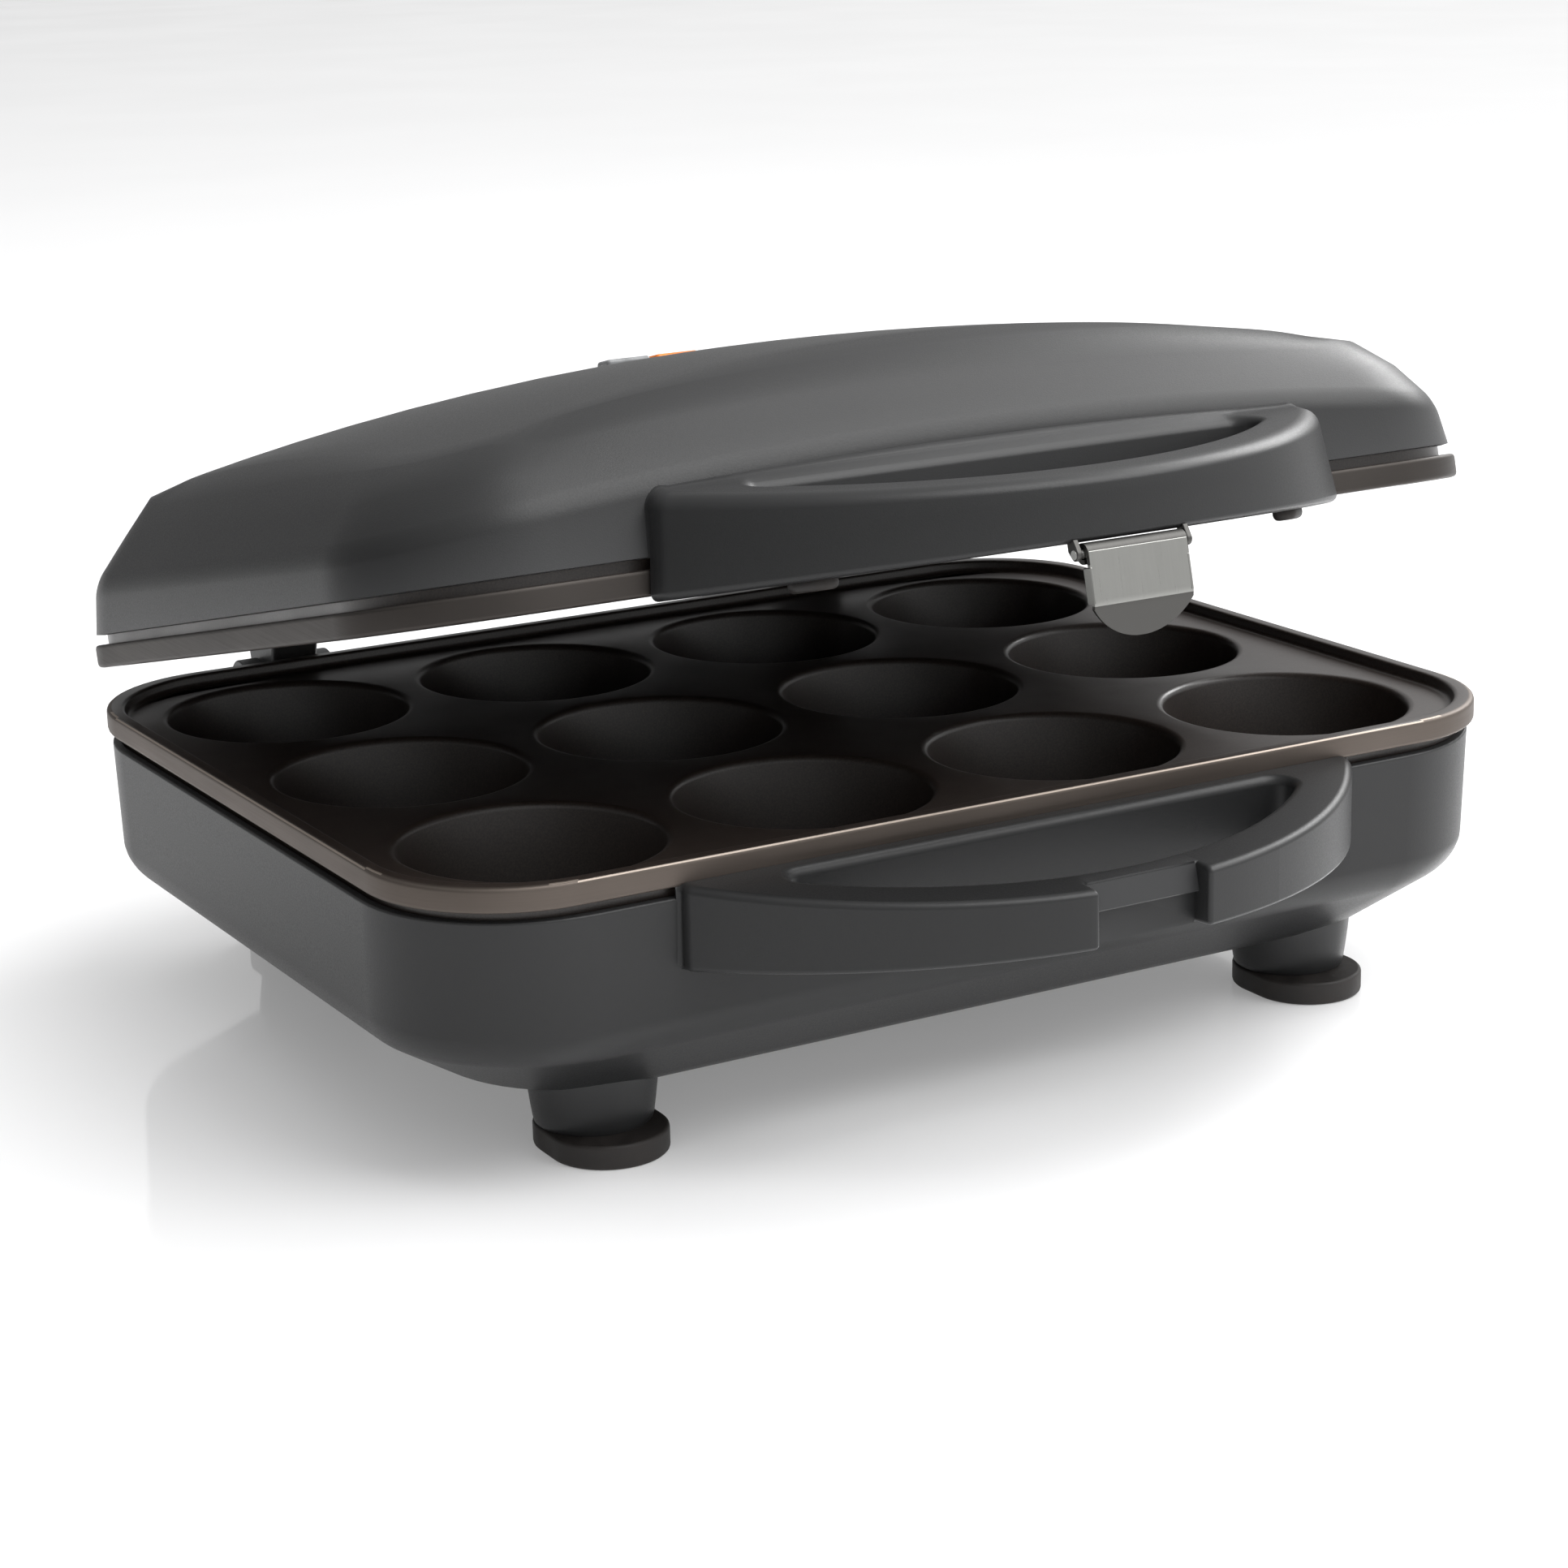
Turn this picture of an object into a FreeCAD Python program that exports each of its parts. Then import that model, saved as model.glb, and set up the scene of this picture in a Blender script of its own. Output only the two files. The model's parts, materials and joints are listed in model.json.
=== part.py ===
import FreeCAD, Part
import math
import os

import Sketcher

# Table-top muffin maker: a lower housing with a plate of twelve cups, and a hinged lid with its own plate.
# Millimetres, +X to the right, +Y to the rear, +Z up. Sketches are drawn about the middle of the plates,
# and the whole is then moved along Y, so that the origin is on the table under the middle of its outline.
Vector = FreeCAD.Vector
doc = FreeCAD.newDocument("MuffinMaker")
sheet = doc.addObject("Spreadsheet::Sheet", "Size")

SIZES = {
    # Plan of the plates and housings
    "width": 360,
    "depth": 272,
    "corner": 46,
    "plan_shift": 12.47,
    "wall": 2.5,
    # Levels from the table up
    "belly_z": 18.5,
    "knee_z": 38.8,
    "rim_z": 80,
    "rim_height": 7,
    "groove": 2.8,
    "closing_gap": 0.5,
    # Lower housing
    "draft": 1,
    "belly_inset_side": 32,
    "belly_inset_front": 23.5,
    "belly_corner": 39.5,
    # Plates
    "lip_width": 5,
    "lip_depth": 3.7,
    "web": 3.2,
    "neck_inset": 3.5,
    "neck_wall": 3,
    "neck_height": 6,
    "pitch": 84.8,
    "cup_radius": 36.7,
    "cup_depth": 32,
    "cup_taper": 12,
    "cup_wall": 2,
    "dome_depth": 9,
    "dome_taper": 40,
    "post_y": 105,
    "post_radius": 5,
    # Lid housing
    "skirt_height": 17,
    "roof_rise": 46,
    "roof_inset": 40,
    "crown_rise": 61.2,
    "crown_y": 55,
    "crown_radius_x": 625,
    "crown_radius_y": 1361,
    # Hinge at the rear
    "hinge_offset": 20,
    "hinge_drop": 4.8,
    "lid_open": 13.46,
    "knuckle_x": 100,
    "knuckle_width": 16,
    "knuckle_radius": 8,
    "lug_foot": 15,
    "lug_shoulder": 3,
    "lug_step": 0.7,
    "arm_rise": 4,
    "lug_width": 7,
    "lug_gap": 0.5,
    "hinge_pin_radius": 3,
    "running_fit": 0.05,
    # D-handles, two arcs about one centre
    "bow_back": 68,
    "low_handle_height": 24,
    "low_handle_rise": 1,
    "low_slope_under": 4.7,
    "low_slope_over": 3.2,
    "lid_handle_drop": 1.5,
    "lid_handle_height": 29,
    "lid_slope_over": 12,
    "bow_outer": 128,
    "bow_inner": 113,
    "bow_clear": 1,
    "bumper_angle": 39,
    "bumper_radius": 6,
    "bumper_height": 2.8,
    "bumper_stem": 2.4,
    "bumper_stem_height": 5,
    # Latch and its notch
    "latch_inset": 1,
    "latch_drop": 3,
    "notch_clear": 2,
    "ledge_lift": 3.8,
    "latch_width": 31,
    "latch_sheet": 1.2,
    "latch_eye": 2.2,
    "latch_pin_radius": 1.25,
    "tongue_drop": 14.3,
    "hook_depth": 3.4,
    "lip_length": 10.4,
    "lip_turn": 15,
    "cheek_gap": 0.7,
    "cheek_width": 2,
    "cheek_radius": 3,
    "notch_depth": 7.5,
    "ledge_height": 1.8,
    "ledge_depth": 2,
    # Feet
    "foot_x": 118.8,
    "foot_y": 98.9,
    "leg_top_radius": 18,
    "leg_radius": 16.6,
    "leg_root": 7,
    "pad_radius": 16.8,
    "pad_reach": 8.4,
    "pad_height": 7,
    # Heaters, shields and fasteners
    "low_heater_drop": 25.3,
    "lid_heater_rise": 7.8,
    "low_shield_clear": 5,
    "lid_shield_rise": 17.1,
    "heater_radius": 3.5,
    "heater_bend": 20,
    "heater_end": 150,
    "heater_far": 166,
    "shield_width": 306,
    "shield_depth": 240,
    "shield_corner": 20,
    "shield_sheet": 0.8,
    "screw_radius": 2,
    "screw_head_radius": 3.8,
    "screw_head": 3,
    "boss_radius": 7,
    "screw_sink": 12,
    "low_thread": 14,
    "lid_thread": 12,
    # Lamps in the roof
    "lamp_y": 58,
    "lamp_width": 15.4,
    "lamp_depth": 8.6,
    "lamp_gap": 2,
    "lamp_rim": 3.5,
    "lamp_proud": 2.4,
    "bezel_proud": 0.4,
    "bezel_flange": 2,
    "bezel_sheet": 1.6,
    "bezel_drop": 1.2,
    "board_sheet": 1.6,
    "light_radius": 2.4,
    "light_height": 5.7,
    # Cord inlet
    "inlet_x": -58,
    "inlet_z": 56,
    "inlet_radius": 6,
    "inlet_wall": 2,
    "inlet_stem": 7,
    "inlet_flange": 3,
    "inlet_flange_sheet": 2.4,
    # Switching pieces inside the lower housing
    "thermostat_radius": 8,
    "thermostat_height": 8,
    "stud_radius": 3.5,
    "stud_height": 4,
    "fuse_radius": 2.2,
    "fuse_length": 16,
    "strap_length": 12,
    "strap_width": 5,
    "fuse_drop": 5,
    "terminal_width": 48,
    "terminal_depth": 14,
    "terminal_height": 12,
    "terminal_y": 60,
    "terminal_pitch": 16,
    "terminal_bore": 2.2,
}
# Places that follow from other sizes, so that fits hold when one of those is changed
PLACES = {
    "plate_top": "=rim_z + rim_height - lip_depth",
    "lid_rim": "=rim_z + rim_height + closing_gap",
    "lid_web": "=lid_rim + lip_depth",
    "lid_skirt": "=lid_rim + rim_height + groove",
    "shell_top": "=rim_z - groove",
    "post_x": "=pitch",
    "crown_z": "=lid_skirt + crown_rise",
    "hinge_y": "=depth / 2 + hinge_offset",
    "hinge_z": "=rim_z - hinge_drop",
    "bow_y": "=bow_back - depth / 2",
    "low_handle_top": "=rim_z + low_handle_rise",
    "low_handle_z": "=low_handle_top - low_handle_height",
    "low_front_z": "=low_handle_z + low_slope_under",
    "low_front_top": "=low_handle_top - low_slope_over",
    "lid_handle_z": "=lid_rim - lid_handle_drop",
    "lid_handle_top": "=lid_handle_z + lid_handle_height",
    "lid_front_top": "=lid_handle_top - lid_slope_over",
    "latch_y": "=bow_y - bow_outer + latch_inset",
    "latch_z": "=lid_handle_z - latch_drop",
    "notch_width": "=latch_width + 2 * notch_clear",
    "ledge_z": "=latch_z - tongue_drop + ledge_lift",
    "low_heater_z": "=plate_top - low_heater_drop",
    "lid_heater_z": "=lid_web + lid_heater_rise",
    "low_shield_z": "=plate_top - cup_depth - cup_wall - low_shield_clear",
    "lid_shield_z": "=lid_web + lid_shield_rise",
}
for row, (alias, number) in enumerate([*SIZES.items(), *PLACES.items()], 1):
    sheet.set(f"A{row}", alias)
    sheet.set(f"B{row}", str(number))
    sheet.setAlias(f"B{row}", alias)
doc.recompute()

LID_RIM = "Size.lid_rim"
LID_WEB = "Size.lid_web"
LID_SKIRT = "Size.lid_skirt"
LID_FACET = "(Size.lid_skirt + Size.skirt_height)"
SHELL_TOP = "Size.shell_top"
PLATE_TOP = "Size.plate_top"
FRONT = "(-Size.depth / 2)"
PIN_BORE = "(Size.hinge_pin_radius + Size.running_fit)"
LATCH_BORE = "(Size.latch_pin_radius + Size.running_fit)"
CLEARANCE = 0.2
BEYOND = 60


def number_of(expression):
    """Value of a sheet expression in millimetres or degrees."""
    return float(sheet.evalExpression(expression))


def drive(thing, expressions):
    """Bind properties of a document object to the sheet."""
    for name, expression in expressions.items():
        thing.setExpression(name, expression)


# Sketch helpers
def sketch_on(body, name, plane, level="0"):
    """Empty sketch on one of the body's own origin planes, moved along its normal."""
    sketch = body.newObject("Sketcher::SketchObject", name)
    planes = {feature.Role: feature for feature in body.Origin.OriginFeatures}
    sketch.AttachmentSupport = (planes[plane], [""])
    sketch.MapMode = "FlatFace"
    sketch.setExpression("AttachmentOffset.Base.z", level)
    return sketch


def dimension(sketch, kind, refs, expression):
    """Dimensional constraint driven by the sheet."""
    index = sketch.addConstraint(Sketcher.Constraint(kind, *refs, number_of(expression)))
    sketch.setExpression(f"Constraints[{index}]", expression)


def locate(sketch, geometry, point, x, y):
    """Tie one point of a sketch to the sketch's origin."""
    dimension(sketch, "DistanceX", (-1, 1, geometry, point), x)
    dimension(sketch, "DistanceY", (-1, 1, geometry, point), y)


def polygon(sketch, corners):
    """Closed outline of straight lines through driven corners."""
    places = [Vector(number_of(x), number_of(y), 0) for x, y in corners]
    count = len(corners)
    lines = [sketch.addGeometry(Part.LineSegment(places[i], places[(i + 1) % count])) for i in range(count)]
    for i in range(count):
        sketch.addConstraint(Sketcher.Constraint("Coincident", lines[i], 2, lines[(i + 1) % count], 1))
        locate(sketch, lines[i], 1, *corners[i])


def rectangle(sketch, x0, x1, y0, y1):
    polygon(sketch, [(x0, y0), (x1, y0), (x1, y1), (x0, y1)])


def circle(sketch, x, y, radius):
    place = Vector(number_of(x), number_of(y), 0)
    ring = sketch.addGeometry(Part.Circle(place, Vector(0, 0, 1), number_of(radius)))
    locate(sketch, ring, 3, x, y)
    dimension(sketch, "Radius", (ring,), radius)


def chain(sketch, lines, arcs):
    """Join lines and arcs in turn, end to start, with tangent ends."""
    for i, line in enumerate(lines):
        sketch.addConstraint(Sketcher.Constraint("Tangent", line, 2, arcs[i], 1))
        sketch.addConstraint(Sketcher.Constraint("Tangent", arcs[i], 2, lines[(i + 1) % len(lines)], 1))


def rounded(body, name, width, depth, corner, level):
    """Sketch of a rectangle about the origin with four equal round corners."""
    sketch = sketch_on(body, name, "XY_Plane", level)
    r = number_of(corner)
    a = number_of(width) / 2 - r
    b = number_of(depth) / 2 - r
    sides = [
        ((-a, -b - r), (a, -b - r)),
        ((a + r, -b), (a + r, b)),
        ((a, b + r), (-a, b + r)),
        ((-a - r, b), (-a - r, -b)),
    ]
    lines = [sketch.addGeometry(Part.LineSegment(Vector(*p, 0), Vector(*q, 0))) for p, q in sides]
    arcs = []
    for i, (x, y) in enumerate([(a, -b), (a, b), (-a, b), (-a, -b)]):
        ring = Part.Circle(Vector(x, y, 0), Vector(0, 0, 1), r)
        start = (i - 1) * math.pi / 2
        arcs.append(sketch.addGeometry(Part.ArcOfCircle(ring, start, start + math.pi / 2)))
    chain(sketch, lines, arcs)
    for line, kind in zip(lines, ("Horizontal", "Vertical", "Horizontal", "Vertical")):
        sketch.addConstraint(Sketcher.Constraint(kind, line))
    for arc in arcs[1:]:
        sketch.addConstraint(Sketcher.Constraint("Equal", arcs[0], arc))
    sketch.addConstraint(Sketcher.Constraint("Symmetric", arcs[0], 3, arcs[2], 3, -1, 1))
    dimension(sketch, "Radius", (arcs[0],), corner)
    dimension(sketch, "DistanceX", (lines[3], 1, lines[1], 1), width)
    dimension(sketch, "DistanceY", (lines[0], 1, lines[2], 1), depth)
    return sketch


def bow(sketch, radius, chord):
    """Outline between a chord along X and the arc in front of it."""
    r = number_of(radius)
    y = number_of(chord)
    middle = number_of("Size.bow_y")
    half = math.sqrt(r * r - (y - middle) ** 2)
    ring = Part.Circle(Vector(0, middle, 0), Vector(0, 0, 1), r)
    ends = [math.atan2(y - middle, side * half) for side in (-1, 1)]
    arc = sketch.addGeometry(Part.ArcOfCircle(ring, *ends))
    line = sketch.addGeometry(Part.LineSegment(Vector(half, y, 0), Vector(-half, y, 0)))
    sketch.addConstraint(Sketcher.Constraint("Coincident", arc, 2, line, 1))
    sketch.addConstraint(Sketcher.Constraint("Coincident", line, 2, arc, 1))
    sketch.addConstraint(Sketcher.Constraint("Horizontal", line))
    locate(sketch, arc, 3, "0", "Size.bow_y")
    dimension(sketch, "Radius", (arc,), radius)
    dimension(sketch, "DistanceY", (-1, 1, line, 1), chord)


def slot(sketch, x, y0, y1, radius):
    """Round-ended outline along Y."""
    r = number_of(radius)
    u = number_of(x)
    low = number_of(y0)
    high = number_of(y1)
    lines = [
        sketch.addGeometry(Part.LineSegment(Vector(u + r, low, 0), Vector(u + r, high, 0))),
        sketch.addGeometry(Part.LineSegment(Vector(u - r, high, 0), Vector(u - r, low, 0))),
    ]
    rings = [Part.Circle(Vector(u, v, 0), Vector(0, 0, 1), r) for v in (high, low)]
    arcs = [
        sketch.addGeometry(Part.ArcOfCircle(rings[0], 0, math.pi)),
        sketch.addGeometry(Part.ArcOfCircle(rings[1], math.pi, 2 * math.pi)),
    ]
    chain(sketch, lines, arcs)
    sketch.addConstraint(Sketcher.Constraint("Equal", arcs[0], arcs[1]))
    dimension(sketch, "Radius", (arcs[0],), radius)
    locate(sketch, arcs[0], 3, x, y1)
    locate(sketch, arcs[1], 3, x, y0)


def cups(sketch, radius):
    """Circles of the four columns and three rows."""
    for column in range(4):
        for row in range(3):
            circle(sketch, f"{column - 1.5} * Size.pitch", f"{row - 1} * Size.pitch", radius)


def posts(sketch, radius):
    """Circles of the four fixing posts."""
    for x in (-1, 1):
        for y in (-1, 1):
            circle(sketch, f"{x} * Size.post_x", f"{y} * Size.post_y", radius)


# Feature helpers
def new_body(name):
    body = doc.addObject("PartDesign::Body", name)
    body.Label = name
    return body


def pad(body, sketch, length, down=False, taper=None):
    """Pad along the sketch's normal, or against it."""
    feature = body.newObject("PartDesign::Pad", sketch.Name + "_pad")
    feature.Profile = sketch
    feature.Reversed = down
    feature.setExpression("Length", length)
    if taper:
        feature.setExpression("TaperAngle", taper)
    return feature


def pocket(body, sketch, length, up=False, taper=None):
    """Pocket against the sketch's normal, or along it."""
    feature = body.newObject("PartDesign::Pocket", sketch.Name + "_pocket")
    feature.Profile = sketch
    feature.Reversed = up
    feature.setExpression("Length", length)
    if taper:
        feature.setExpression("TaperAngle", taper)
    return feature


def loft(body, kind, sketches):
    """Loft of straight faces through sketches in turn."""
    feature = body.newObject(f"PartDesign::{kind}", sketches[0].Name + "_loft")
    feature.Profile = sketches[0]
    feature.Sections = sketches[1:]
    feature.Ruled = True
    return feature


def slab(body, name, outlines, start, width):
    """Pads along +X of outlines drawn in the side view."""
    for i, draw in enumerate(outlines):
        sketch = sketch_on(body, f"{name}_{i}", "YZ_Plane", start)
        draw(sketch)
        pad(body, sketch, width)


def side_cut(body, name, outlines, start, width):
    """Pockets along +X of outlines drawn in the side view."""
    for i, draw in enumerate(outlines):
        sketch = sketch_on(body, f"{name}_{i}", "YZ_Plane", start)
        draw(sketch)
        pocket(body, sketch, width, up=True)


def box(name, x0, x1, y0, y1, z0, z1):
    """Box between driven planes."""
    solid = doc.addObject("Part::Box", name)
    drive(solid, {
        "Length": f"({x1}) - ({x0})",
        "Width": f"({y1}) - ({y0})",
        "Height": f"({z1}) - ({z0})",
        "Placement.Base.x": x0,
        "Placement.Base.y": y0,
        "Placement.Base.z": z0,
    })
    return solid


def cylinder(name, x, y, z, radius, height, axis=Vector(0, 0, 1)):
    """Cylinder from a driven point along an axis."""
    solid = doc.addObject("Part::Cylinder", name)
    solid.Placement.Rotation = FreeCAD.Rotation(Vector(0, 0, 1), axis)
    drive(solid, {
        "Radius": radius,
        "Height": height,
        "Placement.Base.x": x,
        "Placement.Base.y": y,
        "Placement.Base.z": z,
    })
    return solid


def joined(name, kind, solids):
    """Boolean or group of several solids."""
    result = doc.addObject(f"Part::{kind}", name)
    result.Label = name
    if kind == "Compound":
        result.Links = solids
    else:
        result.Shapes = solids
    return result


def cut(name, base, tool):
    result = doc.addObject("Part::Cut", name)
    result.Label = name
    result.Base = base
    result.Tool = tool
    return result


def knuckle_ring(sketch):
    circle(sketch, "Size.hinge_y", "Size.hinge_z", "Size.knuckle_radius")


def hinge_bore(sketch):
    circle(sketch, "Size.hinge_y", "Size.hinge_z", PIN_BORE)


def lower_block(name):
    """Solid inside the lower housing's outer skin."""
    body = new_body(name)
    skin = [
        rounded(body, "belly", "Size.width - 2 * Size.belly_inset_side",
                "Size.depth - 2 * Size.belly_inset_front", "Size.belly_corner", "Size.belly_z"),
        rounded(body, "knee", "Size.width - 2 * Size.draft", "Size.depth - 2 * Size.draft", "Size.corner",
                "Size.knee_z"),
        rounded(body, "shell_top", "Size.width", "Size.depth", "Size.corner", SHELL_TOP),
    ]
    loft(body, "AdditiveLoft", skin)
    return body


# Lower housing: shell, D-handle with the latch notch, bosses and hinge lugs
def lower_housing():
    body = lower_block("lower_housing")
    handle = sketch_on(body, "low_bow", "XY_Plane", "Size.low_handle_z")
    bow(handle, "Size.bow_outer", f"{FRONT} + Size.wall")
    bow(handle, "Size.bow_inner", FRONT)
    pad(body, handle, "Size.low_handle_top - Size.low_handle_z")

    def above_handle(sketch):
        polygon(sketch, [
            (f"{FRONT} - {BEYOND}", "Size.low_front_top"),
            (f"{FRONT} - Size.bow_clear", "Size.low_handle_top"),
            (f"{FRONT} - Size.bow_clear", SHELL_TOP),
            (f"{FRONT} + {BEYOND}", SHELL_TOP),
            (f"{FRONT} + {BEYOND}", "Size.low_handle_top + 1"),
            (f"{FRONT} - {BEYOND}", "Size.low_handle_top + 1"),
        ])

    def below_handle(sketch):
        polygon(sketch, [
            (f"{FRONT} - {BEYOND}", "Size.low_front_z"),
            (FRONT, "Size.low_handle_z"),
            (f"{FRONT} - {BEYOND}", "Size.low_handle_z - 1"),
        ])

    side_cut(body, "low_slope", [above_handle, below_handle], "-Size.width / 2", "Size.width")
    cavity = [
        rounded(body, "belly_inside", "Size.width - 2 * Size.belly_inset_side - 2 * Size.wall",
                "Size.depth - 2 * Size.belly_inset_front - 2 * Size.wall", "Size.belly_corner - Size.wall",
                "Size.belly_z + Size.wall"),
        rounded(body, "knee_inside", "Size.width - 2 * Size.draft - 2 * Size.wall",
                "Size.depth - 2 * Size.draft - 2 * Size.wall", "Size.corner - Size.wall",
                "Size.knee_z + Size.wall / 2"),
        rounded(body, "top_inside", "Size.width - 2 * Size.wall", "Size.depth - 2 * Size.wall",
                "Size.corner - Size.wall", SHELL_TOP),
    ]
    loft(body, "SubtractiveLoft", cavity)
    notch = sketch_on(body, "notch", "XY_Plane", "Size.low_handle_z - 1")
    notch_back = "(Size.bow_y - Size.bow_outer + Size.notch_depth)"
    rectangle(notch, "-Size.notch_width / 2", "Size.notch_width / 2", f"{notch_back} - {BEYOND}", notch_back)
    pocket(body, notch, "Size.low_handle_top - Size.low_handle_z + 2", up=True)
    ledge = sketch_on(body, "ledge", "XY_Plane", "Size.ledge_z")
    rectangle(ledge, "-Size.notch_width / 2 - 1", "Size.notch_width / 2 + 1",
              f"{notch_back} - Size.ledge_depth", f"{notch_back} + 1")
    pad(body, ledge, "Size.ledge_height")
    boss = sketch_on(body, "boss", "XY_Plane", "Size.belly_z + Size.wall")
    posts(boss, "Size.boss_radius")
    pad(body, boss, "Size.low_shield_z - Size.belly_z - Size.wall")
    counterbore = sketch_on(body, "counterbore", "XY_Plane", "Size.belly_z - 1")
    posts(counterbore, f"Size.screw_head_radius + {CLEARANCE}")
    pocket(body, counterbore, "Size.screw_sink + 1", up=True)
    clearance = sketch_on(body, "screw_hole", "XY_Plane", "Size.belly_z")
    posts(clearance, f"Size.screw_radius + {CLEARANCE}")
    pocket(body, clearance, "Size.low_shield_z - Size.belly_z + 1", up=True)

    def lug_web(sketch):
        polygon(sketch, [
            ("Size.depth / 2 - Size.wall", "Size.knee_z + Size.lug_foot"),
            ("Size.hinge_y", "Size.hinge_z - Size.knuckle_radius"),
            ("Size.hinge_y", "Size.hinge_z + Size.knuckle_radius"),
            ("Size.depth / 2 + Size.lug_shoulder", f"{SHELL_TOP} - Size.lug_step"),
            ("Size.depth / 2 - Size.wall", f"{SHELL_TOP} - Size.lug_step"),
        ])

    inner = "(Size.knuckle_x - Size.knuckle_width / 2 - Size.lug_gap - Size.lug_width)"
    outer = "(Size.knuckle_x + Size.knuckle_width / 2 + Size.lug_gap)"
    starts = [inner, outer, f"-{inner} - Size.lug_width", f"-{outer} - Size.lug_width"]
    for i, start in enumerate(starts):
        slab(body, f"lug_{i}", [lug_web, knuckle_ring], start, "Size.lug_width")
        side_cut(body, f"lug_bore_{i}", [hinge_bore], f"{start} - Size.lug_gap / 2",
                 "Size.lug_width + Size.lug_gap")
    inlet = sketch_on(body, "inlet", "XZ_Plane", "-Size.depth / 2 - 1")
    circle(inlet, "Size.inlet_x", "Size.inlet_z", f"Size.inlet_radius + {CLEARANCE}")
    pocket(body, inlet, "Size.wall + Size.inlet_stem + 1", up=True)
    return body


# Lower baking plate: rim with a raised lip, neck into the housing, twelve tapered cups and four posts
def lower_plate():
    body = new_body("lower_baking_plate")
    rim = rounded(body, "low_rim", "Size.width", "Size.depth", "Size.corner", "Size.rim_z")
    pad(body, rim, "Size.rim_height")
    recess = rounded(body, "low_recess", "Size.width - 2 * Size.lip_width", "Size.depth - 2 * Size.lip_width",
                     "Size.corner - Size.lip_width", "Size.rim_z + Size.rim_height")
    pocket(body, recess, "Size.lip_depth")
    neck = rounded(body, "low_neck", "Size.width - 2 * Size.neck_inset", "Size.depth - 2 * Size.neck_inset",
                   "Size.corner - Size.neck_inset", "Size.rim_z")
    pad(body, neck, "Size.neck_height", down=True)
    inset = "(Size.neck_inset + Size.neck_wall)"
    hollow = rounded(body, "low_neck_inside", f"Size.width - 2 * {inset}", f"Size.depth - 2 * {inset}",
                     f"Size.corner - {inset}", f"{PLATE_TOP} - Size.web")
    pocket(body, hollow, f"{PLATE_TOP} - Size.web - Size.rim_z + Size.neck_height + 1")
    cup = sketch_on(body, "cup", "XY_Plane", f"{PLATE_TOP} - Size.web / 2")
    cups(cup, "Size.cup_radius + Size.cup_wall")
    pad(body, cup, "Size.cup_depth + Size.cup_wall - Size.web / 2", down=True, taper="-Size.cup_taper")
    cavity = sketch_on(body, "cup_inside", "XY_Plane", PLATE_TOP)
    cups(cavity, "Size.cup_radius")
    pocket(body, cavity, "Size.cup_depth", taper="-Size.cup_taper")
    post = sketch_on(body, "low_post", "XY_Plane", f"Size.low_shield_z + Size.shield_sheet + {CLEARANCE}")
    posts(post, "Size.post_radius")
    pad(body, post, f"{PLATE_TOP} - Size.web / 2 - Size.low_shield_z - Size.shield_sheet - {CLEARANCE}")
    thread = sketch_on(body, "low_thread", "XY_Plane", "Size.low_shield_z")
    posts(thread, "Size.screw_radius + Size.running_fit")
    pocket(body, thread, "Size.low_thread + 2", up=True)
    return body


# Upper baking plate: the same rim turned over, with shallow domes above the cups
def upper_plate():
    body = new_body("upper_baking_plate")
    rim = rounded(body, "lid_rim", "Size.width", "Size.depth", "Size.corner", LID_RIM)
    pad(body, rim, "Size.rim_height")
    neck = rounded(body, "lid_neck", "Size.width - 2 * Size.neck_inset", "Size.depth - 2 * Size.neck_inset",
                   "Size.corner - Size.neck_inset", f"{LID_RIM} + Size.rim_height")
    pad(body, neck, "Size.neck_height")
    recess = rounded(body, "lid_recess", "Size.width - 2 * Size.lip_width", "Size.depth - 2 * Size.lip_width",
                     "Size.corner - Size.lip_width", LID_RIM)
    pocket(body, recess, "Size.lip_depth", up=True)
    inset = "(Size.neck_inset + Size.neck_wall)"
    hollow = rounded(body, "lid_neck_inside", f"Size.width - 2 * {inset}", f"Size.depth - 2 * {inset}",
                     f"Size.corner - {inset}", f"{LID_WEB} + Size.web")
    pocket(body, hollow, "Size.rim_height + Size.neck_height", up=True)
    dome = sketch_on(body, "dome", "XY_Plane", f"{LID_WEB} + Size.web / 2")
    cups(dome, "Size.cup_radius + Size.cup_wall")
    pad(body, dome, "Size.dome_depth + Size.cup_wall - Size.web / 2", taper="-Size.dome_taper")
    cavity = sketch_on(body, "dome_inside", "XY_Plane", LID_WEB)
    cups(cavity, "Size.cup_radius")
    pocket(body, cavity, "Size.dome_depth", up=True, taper="-Size.dome_taper")
    post = sketch_on(body, "lid_post", "XY_Plane", f"{LID_WEB} + Size.web / 2")
    posts(post, "Size.post_radius + 1")
    pad(body, post, f"Size.lid_shield_z - {CLEARANCE} - {LID_WEB} - Size.web / 2")
    head = sketch_on(body, "lid_screw_seat", "XY_Plane", LID_WEB)
    posts(head, f"Size.screw_head_radius + {CLEARANCE}")
    pocket(body, head, f"Size.screw_head + {CLEARANCE}", up=True)
    shank = sketch_on(body, "lid_screw_hole", "XY_Plane", LID_WEB)
    posts(shank, f"Size.screw_radius + {CLEARANCE}")
    pocket(body, shank, f"Size.lid_shield_z - {LID_WEB} + 1", up=True)
    return body


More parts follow.
